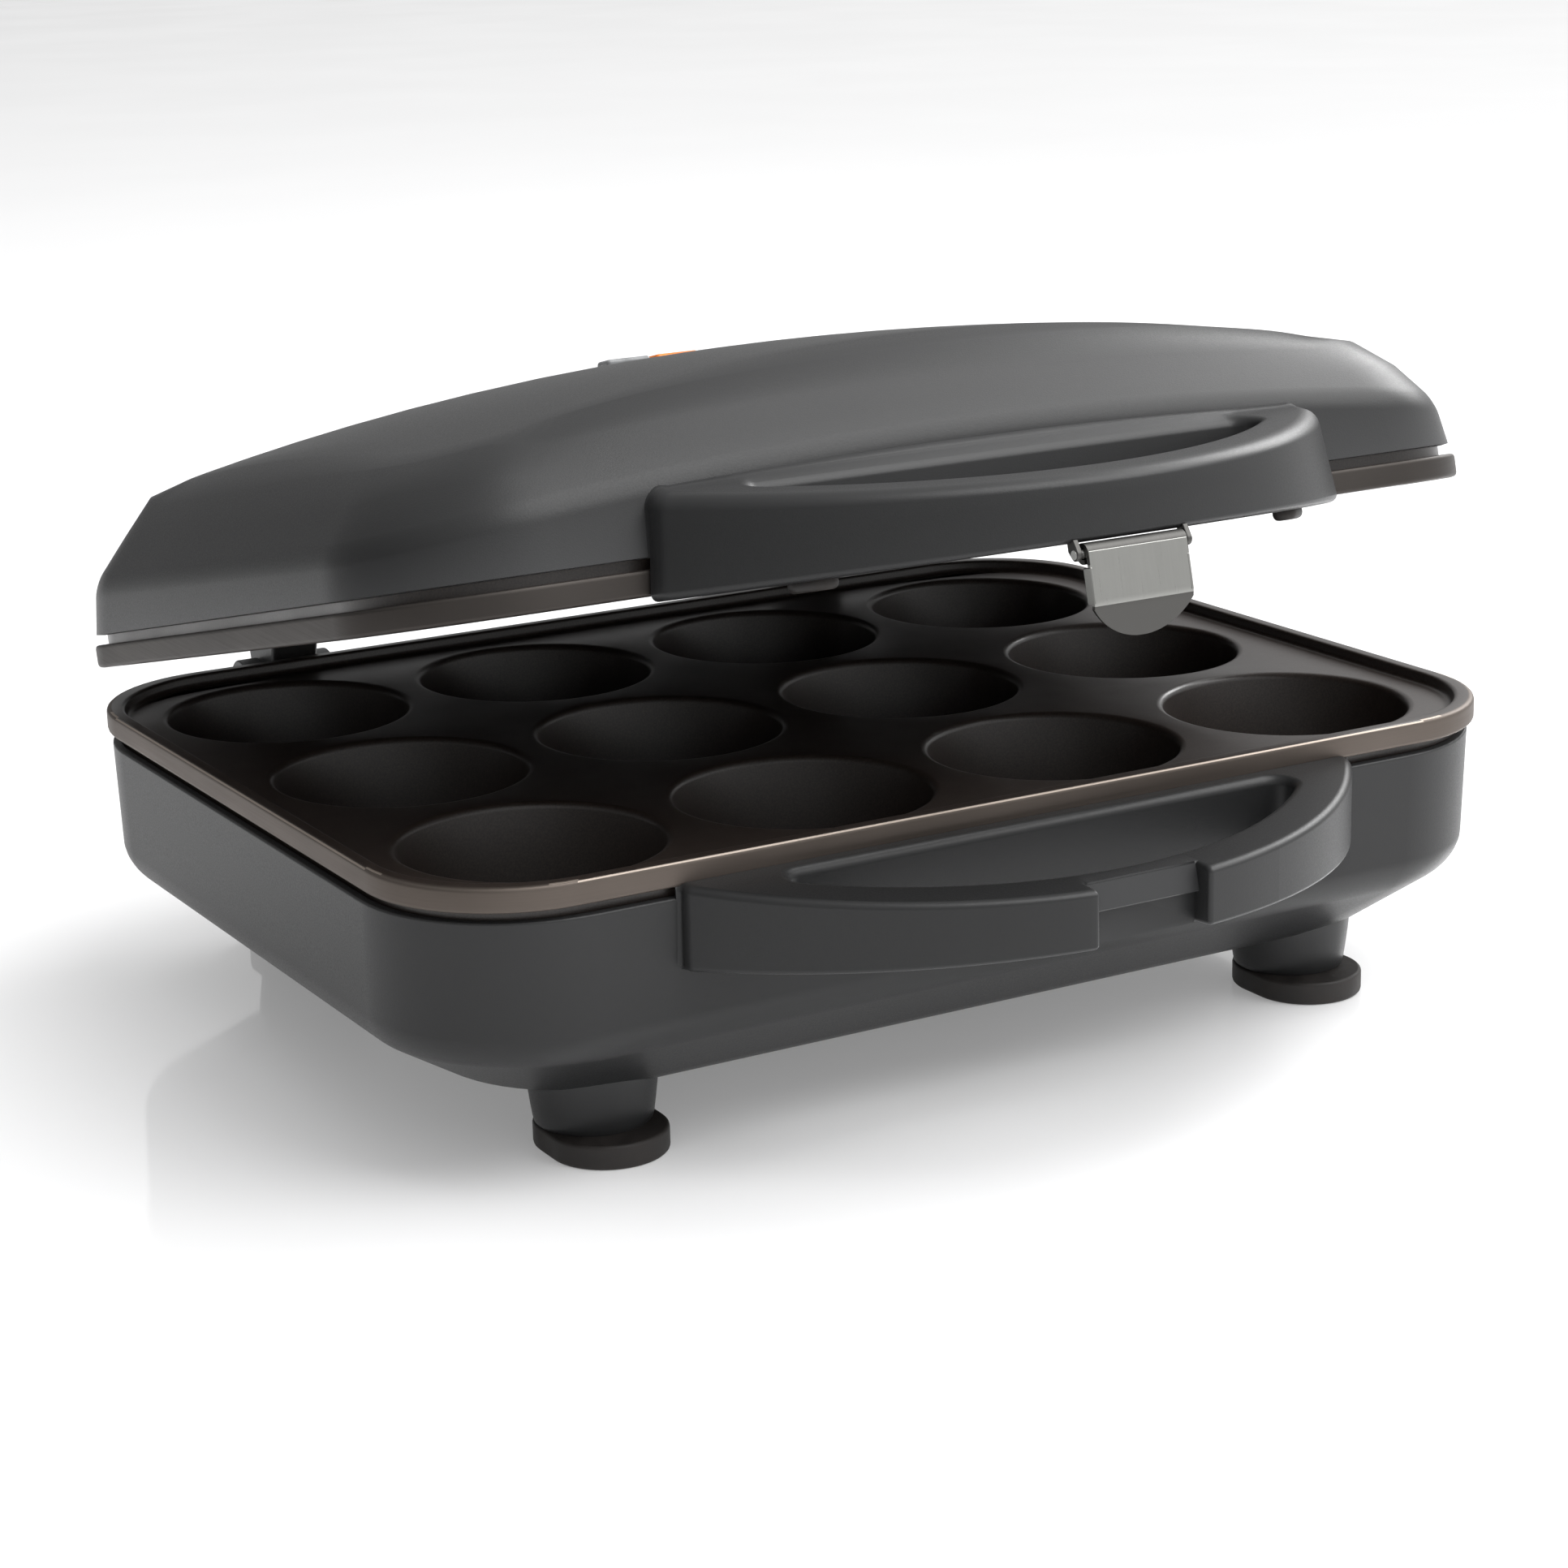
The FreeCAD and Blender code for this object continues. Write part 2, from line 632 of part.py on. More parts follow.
def lid_block(name, inset):
    """Solid under the arched roof with its sloping facets, drawn inwards by a given inset."""
    body = new_body(name)
    plan = [f"Size.width - 2 * {inset}", f"Size.depth - 2 * {inset}", f"Size.corner - {inset}"]
    skirt = rounded(body, f"{name}_skirt", *plan, LID_SKIRT)
    pad(body, skirt, "Size.skirt_height")
    roof_inset = f"(Size.roof_inset + {inset})"
    facet = rounded(body, f"{name}_facet", *plan, LID_FACET)
    ridge = rounded(body, f"{name}_ridge", f"Size.width - 2 * {roof_inset}", f"Size.depth - 2 * {roof_inset}",
                    f"Size.corner - {roof_inset}", f"{LID_FACET} + Size.roof_rise")
    loft(body, "AdditiveLoft", [facet, ridge])
    crown = sketch_on(body, f"{name}_crown", "YZ_Plane")
    crown.setExpression("AttachmentOffset.Base.y", "Size.crown_z - Size.crown_radius_x")
    radius = f"(Size.crown_radius_x - {inset})"
    middle = number_of("Size.crown_y")
    top = number_of(radius)
    swing = number_of("Size.crown_radius_y")
    reach = number_of("Size.depth / 2 + 20")
    heights = [top - swing + math.sqrt(swing ** 2 - (y - middle) ** 2) for y in (reach, -reach)]
    ring = Part.Circle(Vector(middle, top - swing, 0), Vector(0, 0, 1), swing)
    ends = [math.atan2(z - top + swing, y - middle) for z, y in zip(heights, (reach, -reach))]
    arc = crown.addGeometry(Part.ArcOfCircle(ring, *ends))
    ceiling = top + BEYOND
    walls = [
        ((-reach, heights[1]), (-reach, ceiling)),
        ((-reach, ceiling), (reach, ceiling)),
        ((reach, ceiling), (reach, heights[0])),
    ]
    lines = [crown.addGeometry(Part.LineSegment(Vector(*p, 0), Vector(*q, 0))) for p, q in walls]
    for first, second in zip([arc] + lines, lines + [arc]):
        crown.addConstraint(Sketcher.Constraint("Coincident", first, 2, second, 1))
    locate(crown, arc, 3, "Size.crown_y", f"{radius} - Size.crown_radius_y")
    dimension(crown, "Radius", (arc,), "Size.crown_radius_y")
    locate(crown, lines[1], 1, "-Size.depth / 2 - 20", f"{radius} + {BEYOND}")
    locate(crown, lines[1], 2, "Size.depth / 2 + 20", f"{radius} + {BEYOND}")
    crown.addConstraint(Sketcher.Constraint("Vertical", lines[0]))
    crown.addConstraint(Sketcher.Constraint("Vertical", lines[2]))
    groove = body.newObject("PartDesign::Groove", f"{name}_groove")
    groove.Profile = crown
    groove.ReferenceAxis = (crown, ["H_Axis"])
    groove.Angle = 360
    return body


# D-handle of the lid with cheeks for the latch pin, and seats for the bumpers
def lid_handle():
    body = new_body("lid_handle")
    plan = sketch_on(body, "lid_bow", "XY_Plane", "Size.lid_handle_z")
    bow(plan, "Size.bow_outer", f"{FRONT} + Size.wall / 2")
    bow(plan, "Size.bow_inner", FRONT)
    pad(body, plan, "Size.lid_handle_top - Size.lid_handle_z")

    def above_handle(sketch):
        polygon(sketch, [
            (f"{FRONT} - {BEYOND}", "Size.lid_front_top"),
            (f"{FRONT} + 5", "Size.lid_handle_top"),
            (f"{FRONT} + 5", "Size.lid_handle_top + 1"),
            (f"{FRONT} - {BEYOND}", "Size.lid_handle_top + 1"),
        ])

    def behind_handle(sketch):
        rectangle(sketch, f"{FRONT} - Size.bow_clear", f"{FRONT} + 5", "Size.lid_handle_z - 1", LID_SKIRT)

    side_cut(body, "lid_slope", [above_handle, behind_handle], "-Size.width / 2", "Size.width")

    def cheek_ring(sketch):
        circle(sketch, "Size.latch_y", "Size.latch_z", "Size.cheek_radius")

    def cheek_web(sketch):
        rectangle(sketch, "Size.latch_y - Size.cheek_radius + 2", "Size.latch_y + Size.cheek_radius",
                  "Size.latch_z", "Size.lid_handle_z + 1")

    def cheek_bore(sketch):
        circle(sketch, "Size.latch_y", "Size.latch_z", LATCH_BORE)

    cheek_x = "(Size.latch_width / 2 + Size.cheek_gap)"
    for i, start in enumerate((cheek_x, f"-{cheek_x} - Size.cheek_width")):
        slab(body, f"cheek_{i}", [cheek_web, cheek_ring], start, "Size.cheek_width")
        side_cut(body, f"cheek_bore_{i}", [cheek_bore], f"{start} - 0.2", "Size.cheek_width + 0.4")
    seat = sketch_on(body, "bumper_seat", "XY_Plane", "Size.lid_handle_z")
    for side in (-1, 1):
        circle(seat, *bumper_place(side), f"Size.bumper_stem + {CLEARANCE}")
    pocket(body, seat, "Size.bumper_stem_height + 1", up=True)
    return body


def bumper_place(side):
    """Point in the middle of the handle bar, to one side."""
    radius = "(Size.bow_outer + Size.bow_inner) / 2"
    return f"{side} * {radius} * sin(Size.bumper_angle)", f"Size.bow_y - {radius} * cos(Size.bumper_angle)"


# Lid housing: hollow block with handle, hinge knuckles, inner bosses and the lamp opening
def upper_housing():
    outside = lid_block("lid_outside", "0")
    inside = lid_block("lid_inside", "Size.wall")
    handle = lid_handle()
    knuckles = new_body("lid_knuckles")

    def arm(sketch):
        polygon(sketch, [
            ("Size.hinge_y - Size.knuckle_radius", "Size.hinge_z"),
            ("Size.hinge_y + Size.knuckle_radius", "Size.hinge_z"),
            ("Size.hinge_y + Size.knuckle_radius", f"{LID_SKIRT} + Size.arm_rise"),
            ("Size.depth / 2 - Size.wall / 2", f"{LID_FACET} - 1"),
            ("Size.depth / 2 - Size.wall / 2", LID_SKIRT),
            ("Size.hinge_y - Size.knuckle_radius", f"{LID_SKIRT} - Size.arm_rise"),
        ])

    for i, side in enumerate((1, -1)):
        start = f"{side} * Size.knuckle_x - Size.knuckle_width / 2"
        slab(knuckles, f"knuckle_{i}", [arm, knuckle_ring], start, "Size.knuckle_width")
        side_cut(knuckles, f"knuckle_bore_{i}", [hinge_bore], f"{start} - 1", "Size.knuckle_width + 2")
    pillars = new_body("lid_pillars")
    pillar = sketch_on(pillars, "pillar", "XY_Plane", f"Size.lid_shield_z + Size.shield_sheet + {CLEARANCE}")
    posts(pillar, "Size.boss_radius")
    pad(pillars, pillar, str(BEYOND))
    thread = sketch_on(pillars, "pillar_thread", "XY_Plane", "Size.lid_shield_z")
    posts(thread, "Size.screw_radius + Size.running_fit")
    pocket(pillars, thread, "Size.lid_thread + 1", up=True)
    bosses = joined("lid_bosses", "MultiCommon", [pillars, outside])
    shell = cut("lid_shell", outside, inside)
    whole = joined("lid_whole", "MultiFuse", [shell, handle, knuckles, bosses])
    half = f"(Size.lamp_width + Size.lamp_gap / 2 + Size.lamp_rim + {CLEARANCE})"
    deep = f"(Size.lamp_depth / 2 + Size.lamp_rim + {CLEARANCE})"
    window = box("lamp_window", f"-{half}", half, f"Size.lamp_y - {deep}", f"Size.lamp_y + {deep}",
                 f"Size.crown_z - {BEYOND} / 5", f"Size.crown_z + {BEYOND} / 5")
    return cut("upper_housing", whole, window)


# Lamp bezel, lenses and their board under the roof
def lamps():
    half = "(Size.lamp_width + Size.lamp_gap / 2 + Size.lamp_rim)"
    deep = "(Size.lamp_depth / 2 + Size.lamp_rim)"
    ceiling = "(Size.crown_z - Size.wall - Size.bezel_drop)"
    under = f"({ceiling} - Size.bezel_sheet)"
    frame = box("bezel_frame", f"-{half}", half, f"Size.lamp_y - {deep}", f"Size.lamp_y + {deep}",
                under, "Size.crown_z + Size.bezel_proud")
    edge = [f"-{half} - Size.bezel_flange", f"{half} + Size.bezel_flange",
            f"Size.lamp_y - {deep} - Size.bezel_flange", f"Size.lamp_y + {deep} + Size.bezel_flange"]
    flange = box("bezel_flange", *edge, under, ceiling)
    blank = joined("bezel_blank", "MultiFuse", [frame, flange])
    lenses = []
    holes = []
    for name, side in (("clear_lamp_lens", -1), ("orange_lamp_lens", 1)):
        x0 = f"{side} * (Size.lamp_width + Size.lamp_gap) / 2 - Size.lamp_width / 2"
        x1 = f"{x0} + Size.lamp_width"
        y0 = "Size.lamp_y - Size.lamp_depth / 2"
        y1 = "Size.lamp_y + Size.lamp_depth / 2"
        lens = new_body(name)
        plan = sketch_on(lens, f"{name}_plan", "XY_Plane", f"{under} + 0.1")
        rectangle(plan, x0, x1, y0, y1)
        pad(lens, plan, f"Size.crown_z + Size.lamp_proud - {under} - 0.1")
        lenses.append(lens)
        holes.append(box(f"{name}_hole", f"{x0} - {CLEARANCE}", f"{x1} + {CLEARANCE}", f"{y0} - {CLEARANCE}",
                         f"{y1} + {CLEARANCE}", f"{under} - 1", "Size.crown_z + 1"))
    bezel = cut("lamp_bezel", blank, joined("bezel_holes", "MultiFuse", holes))
    board_z = f"({under} - 0.1 - Size.board_sheet)"
    plate = box("board_plate", *edge, board_z, f"{under} - 0.1")
    lights = [cylinder(f"light_{i}", f"{side} * (Size.lamp_width + Size.lamp_gap) / 2", "Size.lamp_y",
                       f"{board_z} - Size.light_height", "Size.light_radius", "Size.light_height + 1")
              for i, side in enumerate((-1, 1))]
    board = joined("lamp_board", "MultiFuse", [plate, *lights])
    return [bezel, *lenses, board]


def heater(name, level):
    """Round heating tube that runs out between the cups, across and back."""
    body = new_body(name)
    path = sketch_on(body, f"{name}_path", "XY_Plane", level)
    row = number_of("Size.pitch / 2")
    near = number_of("Size.heater_end")
    far = number_of("Size.heater_far")
    r = number_of("Size.heater_bend")
    runs = [
        ((-near, -row), (far - r, -row)),
        ((far, r - row), (far, row - r)),
        ((far - r, row), (-near, row)),
    ]
    lines = [path.addGeometry(Part.LineSegment(Vector(*p, 0), Vector(*q, 0))) for p, q in runs]
    arcs = []
    for i, y in enumerate((r - row, row - r)):
        ring = Part.Circle(Vector(far - r, y, 0), Vector(0, 0, 1), r)
        arcs.append(path.addGeometry(Part.ArcOfCircle(ring, (i - 1) * math.pi / 2, i * math.pi / 2)))
    for i, arc in enumerate(arcs):
        path.addConstraint(Sketcher.Constraint("Tangent", lines[i], 2, arc, 1))
        path.addConstraint(Sketcher.Constraint("Tangent", arc, 2, lines[i + 1], 1))
    path.addConstraint(Sketcher.Constraint("Horizontal", lines[0]))
    path.addConstraint(Sketcher.Constraint("Vertical", lines[1]))
    path.addConstraint(Sketcher.Constraint("Equal", *arcs))
    dimension(path, "Radius", (arcs[0],), "Size.heater_bend")
    locate(path, lines[0], 1, "-Size.heater_end", "-Size.pitch / 2")
    locate(path, lines[2], 2, "-Size.heater_end", "Size.pitch / 2")
    dimension(path, "DistanceX", (-1, 1, lines[1], 1), "Size.heater_far")
    section = sketch_on(body, f"{name}_section", "YZ_Plane", "-Size.heater_end")
    circle(section, "-Size.pitch / 2", level, "Size.heater_radius")
    pipe = body.newObject("PartDesign::AdditivePipe", f"{name}_pipe")
    pipe.Profile = section
    pipe.Spine = (path, [f"Edge{i + 1}" for i in range(5)])
    return body


def shield(name, level):
    """Flat reflector sheet held between the posts and bosses."""
    body = new_body(name)
    sheet_plan = rounded(body, f"{name}_plan", "Size.shield_width", "Size.shield_depth",
                         "Size.shield_corner", level)
    posts(sheet_plan, f"Size.screw_radius + {CLEARANCE}")
    pad(body, sheet_plan, "Size.shield_sheet")
    return body


def screws(name, head_z, tip_z):
    """Four equal screws in one group, head down."""
    solids = []
    for i in range(4):
        x = f"{(-1) ** i} * Size.post_x"
        y = f"{(-1) ** (i // 2)} * Size.post_y"
        head = cylinder(f"{name}_head_{i}", x, y, head_z, "Size.screw_head_radius", "Size.screw_head")
        shank = cylinder(f"{name}_shank_{i}", x, y, head_z, "Size.screw_radius", f"{tip_z} - ({head_z})")
        solids.append(joined(f"{name}_{i}", "MultiFuse", [head, shank]))
    return joined(name, "Compound", solids)


# Bent sheet latch: rolled eye, tongue, hook behind it and a half-moon lip that leans back a little
def latch():
    body = new_body("latch")
    front = "(Size.latch_y - Size.latch_eye)"
    back = f"({front} + Size.latch_sheet)"
    bend = "(Size.latch_z - Size.tongue_drop)"
    run = "(Size.lip_length * sin(Size.lip_turn))"
    lip_end = f"({bend} - Size.lip_length * cos(Size.lip_turn))"
    thick = "(Size.latch_sheet * cos(Size.lip_turn))"

    def eye(sketch):
        circle(sketch, "Size.latch_y", "Size.latch_z", "Size.latch_eye")

    def tongue(sketch):
        rectangle(sketch, front, back, bend, "Size.latch_z")

    def hook(sketch):
        rectangle(sketch, f"{back} - 0.2", f"{back} + Size.hook_depth", bend, f"{bend} + Size.latch_sheet")

    def lip(sketch):
        polygon(sketch, [
            (front, f"{bend} + 0.2"),
            (front, bend),
            (f"{front} + {run}", lip_end),
            (f"{front} + {run} + {thick} * cos(Size.lip_turn)", f"{lip_end} + {thick} * sin(Size.lip_turn)"),
            (back, bend),
            (back, f"{bend} + 0.2"),
        ])

    slab(body, "latch", [eye, tongue, hook, lip], "-Size.latch_width / 2", "Size.latch_width")
    side_cut(body, "latch_bore",
             [lambda sketch: circle(sketch, "Size.latch_y", "Size.latch_z", LATCH_BORE)],
             "-Size.latch_width / 2 - 1", "Size.latch_width + 2")
    doc.recompute()
    half = number_of("Size.latch_width / 2")
    tip = number_of(f"{lip_end} + 1")
    corners = []
    for i, edge in enumerate(body.Shape.Edges, 1):
        middle = edge.CenterOfMass
        short = edge.Length < 2 * number_of("Size.latch_sheet")
        if short and abs(abs(middle.x) - half) < 0.01 and middle.z < tip:
            corners.append(f"Edge{i}")
    lip_round = body.newObject("PartDesign::Fillet", "lip_round")
    lip_round.Base = (body.Group[-2], corners)
    lip_round.setExpression("Radius", "Size.lip_length * 0.85")
    return body


# Feet: four tapered legs that end at the housing's skin, each on an oblong rubber pad that reaches outwards
def feet():
    nodes = []
    skin = lower_block("leg_end")
    taper = "atan((Size.leg_top_radius - Size.leg_radius) / (Size.belly_z - Size.pad_height))"
    for end, y in (("front", -1), ("rear", 1)):
        for side, x in (("left", -1), ("right", 1)):
            blank = new_body(f"leg_blank_{end}_{side}")
            sole = sketch_on(blank, f"leg_{end}_{side}", "XY_Plane", "Size.pad_height")
            circle(sole, f"{x} * Size.foot_x", f"{y} * Size.foot_y", "Size.leg_radius")
            pad(blank, sole, "Size.belly_z + Size.leg_root - Size.pad_height", taper=taper)
            leg = cut(f"foot_leg_{end}_{side}", blank, skin)
            body = new_body(f"foot_pad_{end}_{side}")
            plan = sketch_on(body, f"pad_{end}_{side}", "XY_Plane")
            near = f"{y} * Size.foot_y"
            far = f"{y} * (Size.foot_y + Size.pad_reach)"
            slot(plan, f"{x} * Size.foot_x", min(near, far, key=number_of), max(near, far, key=number_of),
                 "Size.pad_radius")
            pad(body, plan, "Size.pad_height")
            nodes += [leg, body]
    return nodes


def cross_pin(name, y, z, radius, start, length):
    """Round pin along X."""
    body = new_body(name)
    slab(body, f"{name}_end", [lambda sketch: circle(sketch, y, z, radius)], start, length)
    return body


# Hinge pins, latch pin and bumpers
def small_parts():
    base = []
    lid = []
    length = "(Size.knuckle_width + 2 * Size.lug_gap + 2 * Size.lug_width)"
    for side, x in (("left", -1), ("right", 1)):
        base.append(cross_pin(f"hinge_pin_{side}", "Size.hinge_y", "Size.hinge_z", "Size.hinge_pin_radius",
                              f"{x} * Size.knuckle_x - {length} / 2", length))
        place = bumper_place(x)
        disc = cylinder(f"bumper_disc_{side}", *place, "Size.lid_handle_z - Size.bumper_height",
                        "Size.bumper_radius", "Size.bumper_height")
        stem = cylinder(f"bumper_stem_{side}", *place, "Size.lid_handle_z - 1", "Size.bumper_stem",
                        "Size.bumper_stem_height + 1")
        lid.append(joined(f"bumper_{side}", "MultiFuse", [disc, stem]))
    reach = "(Size.latch_width / 2 + Size.cheek_gap + Size.cheek_width)"
    lid.append(cross_pin("latch_pin", "Size.latch_y", "Size.latch_z", "Size.latch_pin_radius", f"-{reach}",
                         f"2 * {reach}"))
    return base, lid


# Electrical pieces inside the lower housing
def controls():
    under = f"({PLATE_TOP} - Size.web)"
    can_z = f"({under} - Size.thermostat_height)"
    can = cylinder("thermostat_can", "0", "-Size.pitch / 2", can_z, "Size.thermostat_radius",
                   "Size.thermostat_height")
    stud = cylinder("thermostat_stud", "0", "-Size.pitch / 2", f"{can_z} - Size.stud_height",
                    "Size.stud_radius", "Size.stud_height + 1")
    thermostat = joined("thermostat", "MultiFuse", [can, stud])
    fuse_z = f"({under} - Size.fuse_drop)"
    barrel = cylinder("fuse_barrel", "0", "(Size.pitch - Size.fuse_length) / 2", fuse_z, "Size.fuse_radius",
                      "Size.fuse_length", Vector(0, 1, 0))
    strap = box("fuse_strap", "-Size.strap_length / 2", "Size.strap_length / 2",
                "(Size.pitch - Size.strap_width) / 2", "(Size.pitch + Size.strap_width) / 2", fuse_z, under)
    fuse = joined("thermal_fuse", "MultiFuse", [barrel, strap])
    floor = "(Size.belly_z + Size.wall)"
    block = box("terminal_body", "-Size.terminal_width / 2", "Size.terminal_width / 2", "Size.terminal_y",
                "Size.terminal_y + Size.terminal_depth", floor, f"{floor} + Size.terminal_height")
    ways = [cylinder(f"terminal_way_{i}", f"{i - 1} * Size.terminal_pitch", "Size.terminal_y - 1",
                     f"{floor} + Size.terminal_height / 2", "Size.terminal_bore", "Size.terminal_depth + 2",
                     Vector(0, 1, 0)) for i in range(3)]
    terminals = cut("terminal_block", block, joined("terminal_ways", "MultiFuse", ways))
    rear = "Size.depth / 2"
    inner_end = f"{rear} - Size.inlet_stem"
    stem = cylinder("inlet_stem", "Size.inlet_x", inner_end, "Size.inlet_z", "Size.inlet_radius",
                    "Size.inlet_stem + 1", Vector(0, 1, 0))
    flange = cylinder("inlet_flange", "Size.inlet_x", f"{rear} + 0.1", "Size.inlet_z",
                      "Size.inlet_radius + Size.inlet_flange", "Size.inlet_flange_sheet", Vector(0, 1, 0))
    bore = cylinder("inlet_bore", "Size.inlet_x", f"{inner_end} - 1", "Size.inlet_z",
                    "Size.inlet_radius - Size.inlet_wall", "Size.inlet_stem + Size.inlet_flange_sheet + 2",
                    Vector(0, 1, 0))
    inlet = cut("cord_inlet", joined("inlet_blank", "MultiFuse", [stem, flange]), bore)
    return [thermostat, fuse, terminals, inlet]


# Assembly: all pieces move to the origin in plan, and lid pieces first swing open about the hinge
base_pins, lid_small = small_parts()
base_nodes = [
    lower_housing(),
    lower_plate(),
    heater("lower_heating_element", "Size.low_heater_z"),
    shield("lower_heat_shield", "Size.low_shield_z"),
    screws("lower_screws", "Size.belly_z + Size.screw_sink - Size.screw_head",
           "Size.low_shield_z + Size.low_thread"),
    *controls(),
    *feet(),
    *base_pins,
]
lid_nodes = [
    upper_housing(),
    upper_plate(),
    heater("upper_heating_element", "Size.lid_heater_z"),
    shield("upper_heat_shield", "Size.lid_shield_z"),
    screws("upper_screws", LID_WEB, "Size.lid_shield_z + Size.lid_thread"),
    *lamps(),
    *lid_small,
    latch(),
]
doc.recompute()
swing = FreeCAD.Rotation(Vector(1, 0, 0), -number_of("Size.lid_open"))
axis = Vector(0, number_of("Size.hinge_y"), number_of("Size.hinge_z"))
opening = FreeCAD.Placement(Vector(), swing, axis)
shift = FreeCAD.Placement(Vector(0, number_of("Size.plan_shift"), 0), FreeCAD.Rotation())
for node in base_nodes:
    node.Placement = shift
for node in lid_nodes:
    node.Placement = shift.multiply(opening)
doc.recompute()

for thing in doc.Objects:
    if "Invalid" in thing.State or "Error" in thing.State:
        raise RuntimeError(f"{thing.Name}: {thing.State}")
os.makedirs("parts", exist_ok=True)
for node in base_nodes + lid_nodes:
    if node.Shape.isNull() or not node.Shape.isValid():
        raise RuntimeError(f"{node.Label}: bad shape")
    node.Shape.exportStep(f"parts/{node.Label}.step")
    extent = node.Shape.optimalBoundingBox()
    limits = (extent.XMin, extent.XMax, extent.YMin, extent.YMax, extent.ZMin, extent.ZMax)
    print(node.Label, len(node.Shape.Solids), round(node.Shape.Volume), [round(limit, 2) for limit in limits])
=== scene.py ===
import json
import math

import bmesh
import bpy
from bmesh.types import BMEdge, BMFace, BMVert
from mathutils import Matrix, Vector


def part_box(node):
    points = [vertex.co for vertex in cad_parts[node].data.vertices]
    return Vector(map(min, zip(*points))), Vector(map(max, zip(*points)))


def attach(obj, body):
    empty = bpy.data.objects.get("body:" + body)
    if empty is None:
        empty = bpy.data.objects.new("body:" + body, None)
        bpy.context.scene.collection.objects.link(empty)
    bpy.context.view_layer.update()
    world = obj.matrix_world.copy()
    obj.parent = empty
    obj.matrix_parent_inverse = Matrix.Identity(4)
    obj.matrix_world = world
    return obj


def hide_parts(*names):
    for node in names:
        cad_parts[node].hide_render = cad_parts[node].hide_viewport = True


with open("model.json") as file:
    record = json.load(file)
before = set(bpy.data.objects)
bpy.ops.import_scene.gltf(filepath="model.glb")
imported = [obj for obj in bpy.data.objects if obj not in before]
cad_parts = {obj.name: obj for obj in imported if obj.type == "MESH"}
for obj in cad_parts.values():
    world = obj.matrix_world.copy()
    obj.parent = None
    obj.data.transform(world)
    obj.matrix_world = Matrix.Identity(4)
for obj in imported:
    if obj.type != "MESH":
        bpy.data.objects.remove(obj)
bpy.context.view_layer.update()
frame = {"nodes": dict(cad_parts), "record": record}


# Lower housing: the charcoal moulding that carries everything. Straight walls under the plate turn in at a
# soft knee to a flat belly. One moulding with an even wall, open at the top, finely grained all over.
plate_low, plate_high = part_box("lower_baking_plate")
MIDDLE = (plate_low.y + plate_high.y) / 2
WIDTH = (plate_high.x - plate_low.x) * 1000
DEPTH = (plate_high.y - plate_low.y) * 1000
FRONT = -DEPTH / 2
CORNER = 46
RIM = plate_high.z * 1000
WALL = 2.5
SHELL_TOP = RIM - 9.8
SHELL_LIP = 0.8
KNEE = 38.8
KNEE_INSET = 1
KNEE_ROUND = 6
INNER_KNEE = KNEE + 1.3
BELLY = 17.8
BELLY_INSET_X = 32
BELLY_INSET_Y = 23.5
BELLY_CORNER = 38
BELLY_ROUND = 7
lid_hinge = next(joint for joint in frame["record"]["behaviour"]["joints"] if joint["name"] == "lid_hinge")
HINGE = Vector(lid_hinge["pos_m"])
AJAR = math.radians(-lid_hinge["range_deg"][0])


def shader_of(material):
    return material.node_tree.nodes["Principled BSDF"]


def new_finish(name, **sockets):
    """Material with its shader's own sockets set."""
    material = bpy.data.materials.new(name)
    material.use_nodes = True
    for socket, value in sockets.items():
        shader_of(material).inputs[socket.replace("_", " ")].default_value = value
    return material


def node(material, kind, **settings):
    """New node with its settings and the plain values of its sockets."""
    made = material.node_tree.nodes.new("ShaderNode" + kind)
    for name, value in settings.items():
        if name in made.inputs:
            made.inputs[name].default_value = value
        else:
            setattr(made, name, value)
    return made


def wire(material, source, target, socket):
    material.node_tree.links.new(source, target.inputs[socket])


def speckle(material, scale, detail, stretch=(1, 1, 1)):
    """Noise on the piece's own coordinates; scale in marks a metre."""
    place = node(material, "TexCoord")
    turn = node(material, "Mapping", Scale=stretch)
    marks = node(material, "TexNoise", Scale=scale, Detail=detail)
    wire(material, place.outputs["Object"], turn, "Vector")
    wire(material, turn.outputs["Vector"], marks, "Vector")
    return marks.outputs["Fac"]


def spread(material, source, low, high, start=0.3, end=0.7):
    """Noise drawn out between two plain values."""
    made = node(material, "MapRange")
    for socket, value in (("From Min", start), ("From Max", end), ("To Min", low), ("To Max", high)):
        made.inputs[socket].default_value = value
    wire(material, source, made, "Value")
    return made.outputs["Result"]


def tint(material, source, low, high, start=0.3, end=0.7):
    """Noise as a passage between two colours."""
    made = node(material, "ValToRGB")
    ends = made.color_ramp.elements
    ends[0].position = start
    ends[0].color = (*low, 1)
    ends[1].position = end
    ends[1].color = (*high, 1)
    wire(material, source, made, "Fac")
    return made.outputs["Color"]


def surface(material, colour, roughness):
    """Lead a colour and a roughness to the shader."""
    wire(material, colour, shader_of(material), "Base Color")
    wire(material, roughness, shader_of(material), "Roughness")


def raise_grain(material, source, height, strength):
    """Fine relief on the surface; height in metres."""
    made = node(material, "Bump", Strength=strength, Distance=height)
    wire(material, source, made, "Height")
    wire(material, made.outputs["Normal"], shader_of(material), "Normal")


